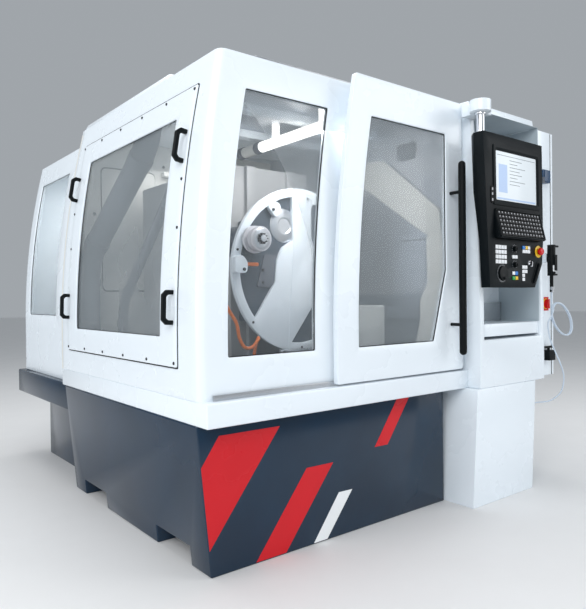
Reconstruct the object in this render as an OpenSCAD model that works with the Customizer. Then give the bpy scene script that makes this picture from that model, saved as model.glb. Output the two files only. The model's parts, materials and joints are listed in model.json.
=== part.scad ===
// Tool and cutter grinder: a floor-standing machine with an enclosed grinding
// chamber, a sliding front door, a swivelling control panel and a side cabinet.
// Frame: millimetres, +Z up, the operator stands on the -Y side, and the origin
// is on the base's bottom face, midway between its two fork pockets.

/* [Overall] */
// Depth from the front of the skirt to the rear wall
overall_d = 2590; // [2500:10:2800]
// Height of the chamber roof above the floor
roof_z = 2020; // [1980:5:2100]
// Thickness of the enclosure's panels
wall_t = 25; // [20:1:35]

/* [Chamber] */
// How far the chamber's right wall stands past the base
base_overhang = 75; // [50:5:90]
// How far the chamber's back wall stands behind the base
base_back_inset = 46; // [30:1:60]
// Height of the skirt's lower edge above the floor
skirt_z = 580; // [560:5:600]
// Height of the skirt band
skirt_h = 92; // [80:1:110]
// How far the front panel stands behind the skirt's face
panel_setback = 50; // [46:1:60]
// How far the left wall leans in at roof height
side_lean = 140; // [100:5:160]
// How far the front panel leans back at roof height
front_lean = 60; // [45:5:75]
// Height above which the walls start to lean
lean_z = 880; // [840:10:920]

/* [Base] */
// Inset of the base front behind the skirt's face
base_front_inset = 80; // [60:5:110]
// Inset of the base's left face at the floor
base_left_taper = 56; // [30:2:90]
// Width of the base at the skirt
base_w = 1400; // [1360:10:1430]
// Depth of the base
base_d = 1470; // [1450:10:1500]
// Width of a fork pocket
fork_w = 295; // [200:5:320]
// Height of a fork pocket
fork_h = 78; // [60:1:100]
// Distance between the middles of the two fork pockets
fork_pitch = 866; // [700:2:900]

/* [Front door] */
// Distance from the chamber's left wall to the door's lower left corner
door_left = 643; // [630:1:660]
// How far the closed door reaches past the chamber's right wall
door_lap = 37; // [30:1:45]
// Thickness of the door
door_t = 30; // [24:1:34]
// How far the door's face stands behind the skirt's face
door_setback = 8; // [4:1:12]
// How far the door's left edge leans in at roof height
door_lean = 125; // [90:5:140]
// Radius of the door's pull bar
pull_r = 18; // [14:0.5:20]
// Distance from the door's top edge down to the pull bar
pull_drop = 315; // [260:5:370]
// Distance from the door's face to the middle of the pull bar
pull_reach = 70; // [55:1:80]

/* [Service panel] */
// Distance from the service panel's rear edge to the chamber's back
service_back = 133; // [110:1:180]
// Distance from the roof down to the service panel's top edge
service_drop = 122; // [112:2:160]
// Thickness of the service panel, which lies on the wall's outer face
service_t = 10; // [6:1:14]
// Length of a lifting handle
grab_len = 135; // [115:1:150]
// How far a lifting handle stands out
grab_reach = 48; // [42:1:60]
// Thickness of a lifting handle's bar
grab_bar = 18; // [14:1:20]

/* [Console] */
// Width of the console column
column_w = 605; // [590:5:620]
// Depth of the console column
column_d = 295; // [280:5:310]
// How far the console column stands in front of the skirt's face
column_proud = 75; // [65:1:85]
// How far the console column leans back at roof height
column_lean = 60; // [45:5:65]
// Depth of the alcove in the console column
alcove_d = 270; // [240:5:275]
// Radius of the post that carries the control panel
post_r = 20; // [16:0.5:24]
// Running clearance between the post and its sleeve
post_clear = 0.06; // [0.02:0.01:0.1]
// Width of the control panel from the post to its right edge
panel_w = 490; // [465:5:505]
// Height of the control panel
panel_h = 755; // [730:5:780]
// Depth of the control panel at its top
panel_d = 94; // [90:1:98]
// Backward tilt of the control panel
panel_tilt = 0.5; // [0.5:0.5:1.5]

/* [Grinding head] */
// Radius of the round guard as a share of the chamber's height above the bed
guard_share = 0.3315; // [0.31:0.0005:0.335]
// Thickness of the round guard
guard_t = 22; // [16:1:28]
// Radius of the largest grinding wheel
wheel_r = 66; // [50:1:75]
// Radius of the wheel arbor
arbor_r = 16; // [12:0.5:18]
// Running clearance between the arbor and its bearing
arbor_clear = 0.05; // [0.02:0.01:0.1]
// Upward travel of the wheel head
head_travel = 150; // [100:10:170]

/* [Work table] */
// Length of the work table
table_len = 520; // [480:10:560]
// Width of the work table
table_w = 260; // [240:5:280]
// Radius of the collet chuck
chuck_r = 55; // [45:1:65]

/* [Cabinet and air line] */
// Width of the pod beside the console column
pod_w = 236; // [210:2:250]
// Diameter of the air hose
hose_dia = 8; // [7:0.5:9]
// Number of sides of the hose's cross section
hose_sides = 8; // [8:1:12]

/* [Hidden] */
// Overrun of a cut past the face it opens
cut = 5;
// Gap between a sliding piece and its way
slide_gap = 0.4;
// Straight steps that follow a leaning wall's curve
lean_steps = 9;
$fn = 48;

// Middle of the front fork pocket behind the skirt's face
fork_front = 380;
// Length of the skirt past the chamber's right wall, up to the console
skirt_tail = 65;
chamber_w = base_w + base_overhang;
chamber_d = base_front_inset + base_d + base_back_inset;
left_x = -(base_left_taper + base_w) / 2;
right_x = left_x + chamber_w + skirt_tail + column_w + pod_w;
front_y = -(fork_front + fork_pitch / 2);
rear_y = front_y + overall_d;
chamber_right = left_x + chamber_w;
chamber_back = front_y + chamber_d;
wall_z0 = skirt_z + skirt_h;
wall_z1 = roof_z - wall_t;
panel_y = front_y + panel_setback;

// The lean of a wall grows with the square of the height, in straight steps
lean_step = (roof_z - lean_z) / lean_steps;
function lean_share(k) = pow(max(0, k) / lean_steps, 2);
function lean(z, top) =
    let (i = (z - lean_z) / lean_step, k = floor(i))
    top * (lean_share(k) * (k + 1 - i) + lean_share(k + 1) * (i - k));
function heights(z0, z1) = concat([z0],
    [for (k = [0:lean_steps]) let (z = lean_z + lean_step * k) if (z > z0 && z < z1) z], [z1]);
function back(list) = [for (i = [len(list) - 1:-1:0]) list[i]];
// Points up a leaning edge that starts at x0 below the lean
function edge_up(x0, top, z0, z1) = [for (z = heights(z0, z1)) [x0 + lean(z, top), z]];

// The two ends of a width about its middle
function span(mid, w) = [mid - w / 2, mid + w / 2];

module along_x(x0, x1) translate([x0, 0, 0]) rotate([90, 0, 90]) linear_extrude(x1 - x0) children();
module along_y(y0, y1) translate([0, y1, 0]) rotate([90, 0, 0]) linear_extrude(y1 - y0) children();
module along_z(z0, z1) translate([0, 0, z0]) linear_extrude(z1 - z0) children();
module block(x, y, z) translate([x[0], y[0], z[0]]) cube([x[1] - x[0], y[1] - y[0], z[1] - z[0]]);
module rod_x(x, y, z, r) translate([x[0], y, z]) rotate([0, 90, 0]) cylinder(h = x[1] - x[0], r = r);
module rod_y(x, y, z, r) translate([x, y[1], z]) rotate([90, 0, 0]) cylinder(h = y[1] - y[0], r = r);
module rod_z(x, y, z, r) translate([x, y, z[0]]) cylinder(h = z[1] - z[0], r = r);
// A sheet of thickness t whose outer face follows the lean, in its own section plane
module lean_strip(x0, top, t, z0, z1)
    polygon(concat(edge_up(x0, top, z0, z1), back(edge_up(x0 + t, top, z0, z1))));
// An outline with leaning left and right edges
module lean_pane(x0, x1, top0, top1, z0, z1)
    polygon(concat(edge_up(x0, top0, z0, z1), back(edge_up(x1, top1, z0, z1))));

// Base, rear tank and skirt
base_y0 = front_y + base_front_inset;
base_y1 = base_y0 + base_d;
// The base's foot reaches right up to the console pillar
base_reach = 37;
base_right = left_x + base_w + base_reach;
fork_ys = [front_y + fork_front, front_y + fork_front + fork_pitch];

module base_casting() color("#1d2b3f") difference() {
    along_y(base_y0, base_y1) polygon([[left_x + base_left_taper, 0], [base_right, 0],
        [base_right, skirt_z], [left_x, skirt_z]]);
    for (y = fork_ys)
        block([left_x - cut, base_right + cut], [y - fork_w / 2, y + fork_w / 2], [-cut, fork_h]);
}

// Inset of the rear housing from the chamber's left wall
rear_inset = 70;
tank_h = 150;
tank_foot_inset = 120;
tank_lip = 40;
tank_z0 = skirt_z - tank_h;
rear_x0 = left_x + rear_inset;
rear_x1 = chamber_right - rear_inset;
module rear_tank() color("#1b2f45") union() {
    block([rear_x0 - tank_lip, rear_x1 + tank_lip], [base_y1 + tank_lip, rear_y + tank_lip],
        [tank_z0, skirt_z]);
    block([rear_x0 + tank_foot_inset, rear_x1 - tank_foot_inset],
        [base_y1 + tank_foot_inset, rear_y - tank_foot_inset], [0, tank_z0]);
}

// Width of the skirt's ledge inside the walls
skirt_band = 110;
skirt_right = chamber_right + skirt_tail;
skirt_in_y0 = front_y + skirt_band + panel_setback;
skirt_in_y1 = chamber_back - skirt_band;
module skirt_frame() color("#f2f4f6") difference() {
    block([left_x, skirt_right], [front_y, chamber_back], [skirt_z, wall_z0]);
    block([left_x + skirt_band, chamber_right - skirt_band], [skirt_in_y0, skirt_in_y1],
        [skirt_z - cut, wall_z0 + cut]);
}

// Front panel with its window, the door header and the door post
// Lower right corner of the front panel, which runs behind the closed door
panel_right = 680;
// Lean of the window's edges at roof height
window_lean = 165;
window_left = 122;
window_right = 555;
window_sill = 157;
window_drop = 140;
window_z0 = wall_z0 + window_sill;
window_z1 = roof_z - window_drop;
pane_t = 8;
pane_in = 8;
header_h = 120;
module front_sheet(in, t) along_x(left_x - cut, chamber_right)
    lean_strip(panel_y + in, front_lean, t, wall_z0, roof_z);
module front_window_hole() along_y(panel_y - cut, panel_y + front_lean + wall_t + cut)
    lean_pane(left_x + window_left, left_x + window_right, window_lean, window_lean, window_z0, window_z1);
module front_outline() along_y(panel_y - cut, panel_y + front_lean + wall_t + cut)
    lean_pane(left_x, left_x + panel_right, side_lean, door_lean, wall_z0, roof_z);
// Everything in front of the front panel's inner face
module ahead_of_panel() along_x(left_x - cut, skirt_right + cut)
    polygon(concat(edge_up(panel_y + wall_t, front_lean, wall_z0, roof_z),
        [[panel_y + wall_t + front_lean, roof_z + cut], [front_y - cut, roof_z + cut],
        [front_y - cut, wall_z0 - cut], [panel_y + wall_t, wall_z0 - cut]]));
module front_panel() color("#eef2f6") difference() {
    intersection() {
        front_sheet(0, wall_t);
        front_outline();
    }
    front_window_hole();
}
module front_window() color("#9fb4bd80") intersection() {
    front_sheet(pane_in, pane_t);
    front_window_hole();
}
module door_header() color("#e9edf1") difference() {
    intersection() {
        front_sheet(0, wall_t);
        block([left_x + panel_right, chamber_right], [panel_y - cut, panel_y + front_lean + wall_t + cut],
            [roof_z - header_h, roof_z]);
    }
    front_outline();
}
// Column dimensions that the door post meets
col_x0 = skirt_right;
col_x1 = col_x0 + column_w;
col_y0 = front_y - column_proud;
col_y1 = col_y0 + column_d;
module door_post() color("#e4e8ee")
    block([chamber_right, skirt_right], [panel_y, col_y1], [wall_z0, roof_z]);

// Left wall with the lift-off service panel
service_front = 213;
service_rise = 116;
service_y0 = front_y + service_front;
service_y1 = chamber_back - service_back;
service_w = service_y1 - service_y0;
service_z0 = wall_z0 + service_rise;
service_z1 = roof_z - service_drop;
service_h = service_z1 - service_z0;
// How far the panel laps over the wall round its opening
service_lap = 30;
// Frame of the service panel round its window
service_stile = 135;
service_foot = 115;
service_head = 110;
module left_sheet(out, t, y0, y1, z0, z1) along_y(y0, y1) lean_strip(left_x - out, side_lean, t, z0, z1);
module left_wall() color("#eef2f6") difference() {
    left_sheet(0, wall_t, panel_y, chamber_back - wall_t, wall_z0, wall_z1);
    ahead_of_panel();
    block([left_x - cut, left_x + side_lean + wall_t + cut],
        [service_y0 + service_lap, service_y1 - service_lap],
        [service_z0 + service_lap, service_z1 - service_lap]);
}
service_hole_y = [service_y0 + service_stile, service_y1 - service_stile];
service_hole_z = [service_z0 + service_foot, service_z1 - service_head];
module service_hole() block([left_x - service_t - cut, left_x + side_lean + cut], service_hole_y,
    service_hole_z);
module service_panel() color("#f4f7fa") difference() {
    left_sheet(service_t, service_t, service_y0, service_y1, service_z0, service_z1);
    service_hole();
}
// The pane lies behind the panel, inside the wall's opening
service_pane_lap = 20;
module service_window() color("#9fb4bd80") left_sheet(0, pane_t, service_hole_y[0] - service_pane_lap,
    service_hole_y[1] + service_pane_lap, service_hole_z[0] - service_pane_lap,
    service_hole_z[1] + service_pane_lap);

// Lifting handles: a bar on two sloped feet
grab_inset = 26;
grab_shares = [0.209, 0.7766];
module grab_handle(y, z) {
    x_foot = left_x - service_t + lean(z, side_lean);
    rise = (lean(z + grab_len / 2, side_lean) - lean(z - grab_len / 2, side_lean)) / grab_len;
    difference() {
        translate([x_foot, y + grab_bar / 2, z]) rotate([0, atan(rise), 0]) rotate([90, 0, 0])
            linear_extrude(grab_bar) difference() {
                polygon([[grab_bar, -grab_len / 2], [-grab_reach + grab_bar, -grab_len / 2],
                    [-grab_reach, -grab_len / 2 + grab_bar], [-grab_reach, grab_len / 2 - grab_bar],
                    [-grab_reach + grab_bar, grab_len / 2], [grab_bar, grab_len / 2]]);
                polygon([[grab_bar + cut, -grab_len / 2 + grab_bar], [-grab_reach + grab_bar + grab_bar / 2,
                    -grab_len / 2 + grab_bar], [-grab_reach + grab_bar,
                        -grab_len / 2 + grab_bar + grab_bar / 2],
                    [-grab_reach + grab_bar, grab_len / 2 - grab_bar - grab_bar / 2],
                    [-grab_reach + grab_bar + grab_bar / 2, grab_len / 2 - grab_bar],
                    [grab_bar + cut, grab_len / 2 - grab_bar]]);
            }
        left_sheet(service_t, service_t + wall_t, y - grab_bar, y + grab_bar, service_z0, service_z1);
    }
}
module grab_handles() color("#15171a")
    for (y = [service_y0 + grab_inset, service_y1 - grab_inset], s = grab_shares)
    grab_handle(y, service_z0 + service_h * s);

// Screws round the service panel
screw_r = 6;
screw_h = 4;
screw_inset = 16;
screw_rows = 5;
screw_side_shares = [0.488, 0.6595];
module panel_screw(y, z) difference() {
    rod_x([left_x - service_t + lean(z, side_lean) - screw_h, left_x + lean(z, side_lean)], y, z, screw_r);
    left_sheet(service_t, service_t + wall_t, y - 2 * screw_r, y + 2 * screw_r, service_z0, service_z1);
}
module service_screws() color("#2a2c2f") {
    for (i = [0:screw_rows], z = [service_z0 + screw_inset, service_z1 - screw_inset])
        panel_screw(service_y0 + screw_inset + (service_w - 2 * screw_inset) * i / screw_rows, z);
    for (s = screw_side_shares, y = [service_y0 + screw_inset, service_y1 - screw_inset])
        panel_screw(y, service_z0 + service_h * s);
}

// Right wall, roof and bulkhead
module right_wall() color("#e6eaee") difference() {
    block([chamber_right - wall_t, chamber_right], [panel_y, chamber_back - wall_t], [wall_z0, wall_z1]);
    ahead_of_panel();
}
module roof_panel() color("#eef2f6") difference() {
    along_y(panel_y, chamber_back) polygon([[left_x + lean(wall_z1, side_lean), wall_z1],
        [left_x + side_lean, roof_z], [chamber_right, roof_z], [chamber_right, wall_z1]]);
    ahead_of_panel();
}
cover_h = 35;
cover_front = 560;
cover_bevel = 20;
module roof_cover() color("#f0f3f6") along_y(front_y + cover_front, chamber_back - wall_t)
    polygon([[left_x + side_lean, roof_z], [left_x + side_lean + cover_bevel, roof_z + cover_h],
        [chamber_right - cover_bevel, roof_z + cover_h], [chamber_right, roof_z]]);
module bulkhead() color("#d9dde2") along_y(chamber_back - wall_t, chamber_back)
    lean_pane(left_x, chamber_right, side_lean, 0, wall_z0, wall_z1);

// Rear housing
rear_drop = 35;
rear_z = roof_z - rear_drop;
rear_roof_z = rear_z - wall_t;
rear_stile_front = 324;
rear_stile_back = 110;
rear_sill = 380;
rear_head = 145;
rear_hole_y = [chamber_back + rear_stile_front, rear_y - rear_stile_back];
rear_hole_z = [skirt_z + rear_sill, rear_z - rear_head];
module rear_sheet(in, t, y, z) along_y(y[0], y[1]) lean_strip(rear_x0 + in, side_lean, t, z[0], z[1]);
module rear_hole() block([rear_x0 - cut, rear_x0 + side_lean + wall_t + cut], rear_hole_y, rear_hole_z);
module rear_left_wall() color("#eef2f6") difference() {
    rear_sheet(0, wall_t, [chamber_back, rear_y - wall_t], [skirt_z, rear_roof_z]);
    rear_hole();
}
module rear_window() color("#9fb4bd80") intersection() {
    rear_sheet(pane_in, pane_t, rear_hole_y, rear_hole_z);
    rear_hole();
}
module rear_shell() color("#eceff3") union() {
    along_y(rear_y - wall_t, rear_y) lean_pane(rear_x0, rear_x1, side_lean, 0, skirt_z, rear_roof_z);
    block([rear_x1 - wall_t, rear_x1], [chamber_back, rear_y], [skirt_z, rear_roof_z]);
}
module rear_roof() color("#eef2f6") along_y(chamber_back, rear_y)
    polygon([[rear_x0 + lean(rear_roof_z, side_lean), rear_roof_z],
        [rear_x0 + lean(rear_z, side_lean), rear_z], [rear_x1, rear_z], [rear_x1, rear_roof_z]]);
// Tool loader in the rear housing: a post with a pallet disc and a gripper arm
loader_x = 480;
loader_share = 0.557;
loader_y = chamber_back + (rear_y - chamber_back) * loader_share;
loader_r = 110;
loader_h = 620;
pallet_r = 200;
pallet_t = 30;
arm_len = 260;
arm_w = 70;
arm_h = 60;
module loader_tower() color("#e8e9ea") translate([left_x + loader_x, loader_y, skirt_z]) union() {
    cylinder(h = loader_h, r = loader_r);
    translate([0, 0, loader_h]) cylinder(h = pallet_t, r = pallet_r);
    translate([0, 0, loader_h + pallet_t]) cylinder(h = arm_w + arm_h, r = arm_w);
    translate([-arm_len, -arm_w / 2, loader_h + pallet_t + arm_w]) cube([arm_len, arm_w, arm_h]);
}

// Sliding front door on its tracks
door_x0 = left_x + door_left;
door_x1 = chamber_right + door_lap;
door_w = door_x1 - door_x0;
door_y0 = front_y + door_setback;
door_y1 = door_y0 + door_t;
// Gap under the door and the height that it stands above the roof's edge
door_foot_gap = 8;
door_head = 10;
door_z0 = wall_z0 + door_foot_gap;
door_z1 = roof_z + door_head;
pane_left = 127;
pane_right = 132;
pane_sill = 160;
pane_drop = 164;
pane_z0 = wall_z0 + pane_sill;
pane_z1 = roof_z - pane_drop;
// Clipped lower right corner of the door's window
clip_w = 99;
clip_h = 347;
module door_hole_shape() polygon(concat(edge_up(door_x0 + pane_left, door_lean, pane_z0, pane_z1),
    [[door_x1 - pane_right, pane_z1], [door_x1 - pane_right, pane_z0 + clip_h],
    [door_x1 - pane_right - clip_w, pane_z0]]));
module door_shell() color("#f1f5f9") difference() {
    along_y(door_y0, door_y1) lean_pane(door_x0, door_x1, door_lean, 0, door_z0, door_z1);
    along_y(door_y0 - cut, door_y1 + cut) door_hole_shape();
}
module door_window() color("#9fb4bd80") along_y(door_y0 + pane_in,
    door_y0 + pane_in + pane_t) door_hole_shape();

// Pull bar on two standoffs
pull_in = 97;
pull_rise = 80;
pull_foot = 150;
standoff_r = 8;
pull_z0 = door_z0 + pull_rise;
pull_z1 = door_z1 - pull_drop;
pull_x = door_x1 - pull_in;
pull_y = door_y0 - pull_reach;
module door_pull() color("#131416") union() {
    rod_z(pull_x, pull_y, [pull_z0 + pull_r, pull_z1 - pull_r], pull_r);
    for (z = [pull_z0 + pull_r, pull_z1 - pull_r]) translate([pull_x, pull_y, z]) sphere(r = pull_r);
    for (z = [pull_z0 + pull_foot, pull_z1 - pull_foot])
        rod_y(pull_x, [pull_y, door_y0], z, standoff_r);
}

// Upper rail on the roof and lower guide on the skirt
rail_h = 16;
rail_t = 20;
rail_back = 20;
rail_start = 320;
guide_h = 22;
guide_t = 6;
rail_y0 = panel_y + front_lean + rail_back;
rail_z1 = roof_z + rail_h;
module door_tracks() color("#9aa1a8") {
    block([left_x + rail_start, chamber_right], [rail_y0, rail_y0 + rail_t], [roof_z, rail_z1]);
    block([left_x + panel_setback, skirt_right], [door_y1 + slide_gap, door_y1 + slide_gap + guide_t],
        [wall_z0, wall_z0 + guide_h]);
}
// Hooks on the door's back that hang over the upper rail
hanger_w = 60;
hanger_t = 12;
hanger_foot = 12;
hanger_shares = [0.3, 0.86];
hook_z0 = roof_z + slide_gap;
hook_z1 = rail_z1 + slide_gap + hanger_t;
module hanger_outline() polygon([[door_y1, roof_z - hanger_foot],
    [door_y1 + hanger_t, roof_z - hanger_foot], [door_y1 + hanger_t, hook_z0],
    [rail_y0 - slide_gap, hook_z0], [rail_y0 - slide_gap, rail_z1 + slide_gap],
    [rail_y0 + rail_t + slide_gap, rail_z1 + slide_gap], [rail_y0 + rail_t + slide_gap, hook_z0],
    [rail_y0 + rail_t + slide_gap + hanger_t, hook_z0], [rail_y0 + rail_t + slide_gap + hanger_t, hook_z1],
    [rail_y0 - slide_gap - hanger_t, hook_z1], [rail_y0 - slide_gap - hanger_t, door_z1],
    [door_y1, door_z1]]);
module door_hangers() color("#8a9097") for (s = hanger_shares)
    along_x(door_x0 + door_w * s, door_x0 + door_w * s + hanger_w) hanger_outline();

// Machine bed, table and workhead
bed_inset = 40;
bed_z1 = 740;
bed_x1 = chamber_right - skirt_band - bed_inset;
module bed_casting() color("#5b636b") block([left_x + skirt_band + bed_inset, bed_x1],
    [skirt_in_y0 + bed_inset, skirt_in_y1 - bed_inset], [skirt_z, bed_z1]);
rail_w = 26;
way_h = 25;
way_end = 15;
way_left_share = 0.3254;
table_left_share = 0.461;
table_front = 215;
table_t = 34;
way_inset_share = 0.2;
table_x0 = left_x + chamber_w * table_left_share;
table_y0 = front_y + table_front;
way_z1 = bed_z1 + way_h;
table_z0 = way_z1 + slide_gap;
table_z1 = table_z0 + table_t;
way_ys = [table_y0 + table_w * way_inset_share, table_y0 + table_w * (1 - way_inset_share)];
module table_rails() color("#b9bfc5") for (y = way_ys)
    block([left_x + chamber_w * way_left_share, bed_x1 - way_end], span(y, rail_w), [bed_z1, way_z1]);
module work_table() color("#8f979e") difference() {
    block([table_x0, table_x0 + table_len], [table_y0, table_y0 + table_w], [table_z0, table_z1]);
    for (s = tee_slot_shares) block([table_x0 - cut, table_x0 + table_len + cut],
        span(table_y0 + table_w * s, tee_w), [table_z1 - tee_d, table_z1 + cut]);
}
// Slots along the table top
tee_slot_shares = [0.12, 0.88];
tee_w = 14;
tee_d = 16;
head_stock_w = 200;
head_stock_h = 210;
head_stock_in = 320;
nose_r = 70;
nose_len = 40;
quill_r = 30;
quill_len = 60;
quill_clear = 0.05;
chuck_len = 80;
chuck_gap = 0.4;
tool_r = 10;
tool_len = 110;
tool_grip = 40;
spindle_h = 120;
spindle_z = table_z1 + spindle_h;
spindle_y = table_y0 + table_w / 2;
stock_x0 = table_x0 + head_stock_in;
nose_x0 = stock_x0 - nose_len;
module workhead() color("#dfe3e7") difference() {
    union() {
        block([stock_x0, stock_x0 + head_stock_w],
            [table_y0 + tee_w + 2 * tee_d, table_y0 + table_w - tee_w - 2 * tee_d],
            [table_z1, table_z1 + head_stock_h]);
        rod_x([nose_x0, stock_x0], spindle_y, spindle_z, nose_r);
    }
    rod_x([nose_x0 - cut, nose_x0 + quill_len + cut], spindle_y, spindle_z, quill_r + quill_clear);
}
chuck_x1 = nose_x0 - chuck_gap;
chuck_x0 = chuck_x1 - chuck_len;
module collet_chuck() color("#a7adb3") difference() {
    union() {
        rod_x([chuck_x0, chuck_x1], spindle_y, spindle_z, chuck_r);
        rod_x([chuck_x1, nose_x0 + quill_len], spindle_y, spindle_z, quill_r);
    }
    rod_x([chuck_x0 - cut, chuck_x0 + tool_grip], spindle_y, spindle_z, tool_r);
}
module tool_blank() color("#c9ced3")
    rod_x([chuck_x0 + tool_grip - tool_len, chuck_x0 + tool_grip], spindle_y, spindle_z, tool_r);

// Column, saddle and wheel head
head_left_share = 0.589;
head_back = 550;
guard_lift = 38;
guard_r = guard_share * (wall_z1 - bed_z1);
head_z = bed_z1 + guard_r + guard_lift;
head_r_share = 0.68;
head_r = guard_r * head_r_share;
head_d = 160;
head_x = left_x + chamber_w * head_left_share;
head_y = front_y + head_back;
trunnion_r = 80;
trunnion_len = 60;
trunnion_clear = 0.06;
trunnion_gap = 0.5;
saddle_w = 420;
saddle_h_share = 1.25;
saddle_h = guard_r * saddle_h_share;
saddle_d = 80;
saddle_y0 = head_y + head_d + trunnion_gap;
saddle_y1 = saddle_y0 + saddle_d;
column_face = saddle_y1 + slide_gap;
stand_w = 520;
stand_d = 180;
stand_over_share = 0.35;
stand_z1 = head_z + saddle_h / 2 + head_travel + guard_r * stand_over_share;
guideway_w = 60;
guideway_h = 24;
guideway_share = 0.32;
module head_guideways(grow, z) for (s = [-1, 1])
    block([head_x + s * saddle_w * guideway_share - guideway_w / 2 - grow,
        head_x + s * saddle_w * guideway_share + guideway_w / 2 + grow],
        [column_face - guideway_h - grow, column_face + grow], z);
module head_column() color("#3a4654") union() {
    block(span(head_x, stand_w), [column_face, column_face + stand_d], [bed_z1, stand_z1]);
    head_guideways(0, [bed_z1, stand_z1]);
}
// Sheet cover behind the column, open at its back and foot
way_cover_gap = 32;
way_cover_left_share = 0.2902;
way_cover_drop = 60;
way_cover_t = 12;
way_cover_x = [left_x + chamber_w * way_cover_left_share, head_x + stand_w / 2];
way_cover_y = [column_face + stand_d + way_cover_gap, skirt_in_y1 - bed_inset];
way_cover_z1 = stand_z1 - way_cover_drop;
module way_cover() color("#eef1f4") difference() {
    block(way_cover_x, way_cover_y, [bed_z1, way_cover_z1]);
    block([way_cover_x[0] + way_cover_t, way_cover_x[1] - way_cover_t],
        [way_cover_y[0] + way_cover_t, way_cover_y[1] + cut], [bed_z1 - cut, way_cover_z1 - way_cover_t]);
}
module wheel_saddle() color("#cfd4d9") difference() {
    block([head_x - saddle_w / 2, head_x + saddle_w / 2], [saddle_y0, saddle_y1],
        [head_z - saddle_h / 2, head_z + saddle_h / 2]);
    head_guideways(slide_gap, [bed_z1 - cut, stand_z1 + cut]);
    rod_y(head_x, [saddle_y0 - cut, saddle_y0 + trunnion_len], head_z, trunnion_r + trunnion_clear);
}
// Arbor axis in the wheel head, from the middle of the guard in shares of its radius
arbor_share = [-0.723, 0.334];
arbor_x = head_x + guard_r * arbor_share[0];
arbor_z = head_z + guard_r * arbor_share[1];
cartridge_share = 0.178;
cartridge_r = guard_r * cartridge_share;
arbor_out = 122;
arbor_in = 90;
module wheel_head() color("#c4cad0") difference() {
    union() {
        rod_y(head_x, [head_y, head_y + head_d], head_z, head_r);
        rod_y(head_x, [head_y + head_d, saddle_y0 + trunnion_len - trunnion_gap], head_z, trunnion_r);
        rod_y(arbor_x, [head_y, head_y + head_d], arbor_z, cartridge_r);
    }
    rod_y(arbor_x, [head_y - cut, head_y + arbor_in + cut], arbor_z, arbor_r + arbor_clear);
}
// Outlines of the guard's two openings in shares of its radius
opening_shares = [[-0.12, 1.05], [-0.12, 0.36], [-0.27, 0.27], [-0.36, 0.12], [-0.385, -0.144],
    [-0.7, -0.6], [-1.05, -0.6], [-1.05, 1.05]];
low_opening_shares = [[0.21, -0.42], [-0.19, -0.93], [0.95, -0.93], [0.95, -0.42]];
guard_rim = 45;
slot_w = 50;
slot_len = 200;
slot_x_share = 0.238;
slot_z_share = 0.574;
module round_guard() color("#f3f5f8") translate([head_x, head_y, head_z]) rotate([90, 0, 0])
    linear_extrude(guard_t) difference() {
        circle(r = guard_r, $fn = 96);
        intersection() {
            circle(r = guard_r - guard_rim, $fn = 96);
            union() {
                polygon([for (p = opening_shares) p * guard_r]);
                polygon([for (p = low_opening_shares) p * guard_r]);
            }
        }
        translate([guard_r * slot_x_share, guard_r * slot_z_share]) union() {
            square([slot_w, slot_len - slot_w], center = true);
            for (s = [-1, 1]) translate([0, s * (slot_len - slot_w) / 2]) circle(d = slot_w);
        }
    }
pipe_r = 9;
pipe_len = 110;
pipe_seat = 40;
pipe_lift_share = 0.05;
module coolant_pipe() color("#f08a3c") translate([head_x - guard_r + guard_rim / 2, head_y - guard_t,
    head_z + guard_r * pipe_lift_share])
    union() {
        translate([-pipe_seat / 2, -pipe_seat, -pipe_seat / 2]) cube([pipe_seat, pipe_seat, pipe_seat]);
        translate([0, -pipe_seat / 2, 0]) rotate([0, 90, 0]) cylinder(h = pipe_len, r = pipe_r);
    }
module wheel_arbor() color("#aab0b6") rod_y(arbor_x, [head_y - arbor_out, head_y + arbor_in], arbor_z,
    arbor_r);
// Wheel pack on the arbor: the radius of each wheel is a share of the largest
spacer_r = 28;
wheel_t = 16;
wheel_pitch = 26;
wheel_shares = [1, 0.82, 0.9];
pack_gap = 6;
pack_y1 = head_y - guard_t - pack_gap;
module grinding_wheels() color("#cfd2d6") difference() {
    union() {
        rod_y(arbor_x, [pack_y1 - wheel_pitch * len(wheel_shares), pack_y1], arbor_z, spacer_r);
        for (i = [0:len(wheel_shares) - 1])
            rod_y(arbor_x, span(pack_y1 - wheel_pitch * (i + 1 / 2), wheel_t), arbor_z,
                wheel_r * wheel_shares[i]);
    }
    rod_y(arbor_x, [head_y - arbor_out - cut, pack_y1 + cut], arbor_z, arbor_r);
}

// Lamp under the roof
lamp_left_share = 0.61;
lamp_r = 28;
lamp_front = 250;
lamp_len = 650;
lamp_drop = 95;
lamp_clip = 30;
lamp_clip_share = 0.2;
lamp_x = left_x + chamber_w * lamp_left_share;
lamp_z = wall_z1 - lamp_drop;
module work_lamp() color("#fbfbf6") union() {
    rod_y(lamp_x, [front_y + lamp_front, front_y + lamp_front + lamp_len], lamp_z, lamp_r);
    for (s = [lamp_clip_share, 1 - lamp_clip_share])
        block(span(lamp_x, lamp_clip), span(front_y + lamp_front + lamp_len * s, lamp_clip), [lamp_z, wall_z1]);
}

// A duct from the roof to the bed that swings back by the given angle, in a plane that turns about its foot
module bend(y, z, from, turn, r, big_r) translate([0, y, z]) rotate([90, 0, 90]) rotate([0, 0, from])
    rotate_extrude(angle = turn, $fn = 48) translate([big_r, 0]) circle(r = r);
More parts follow.
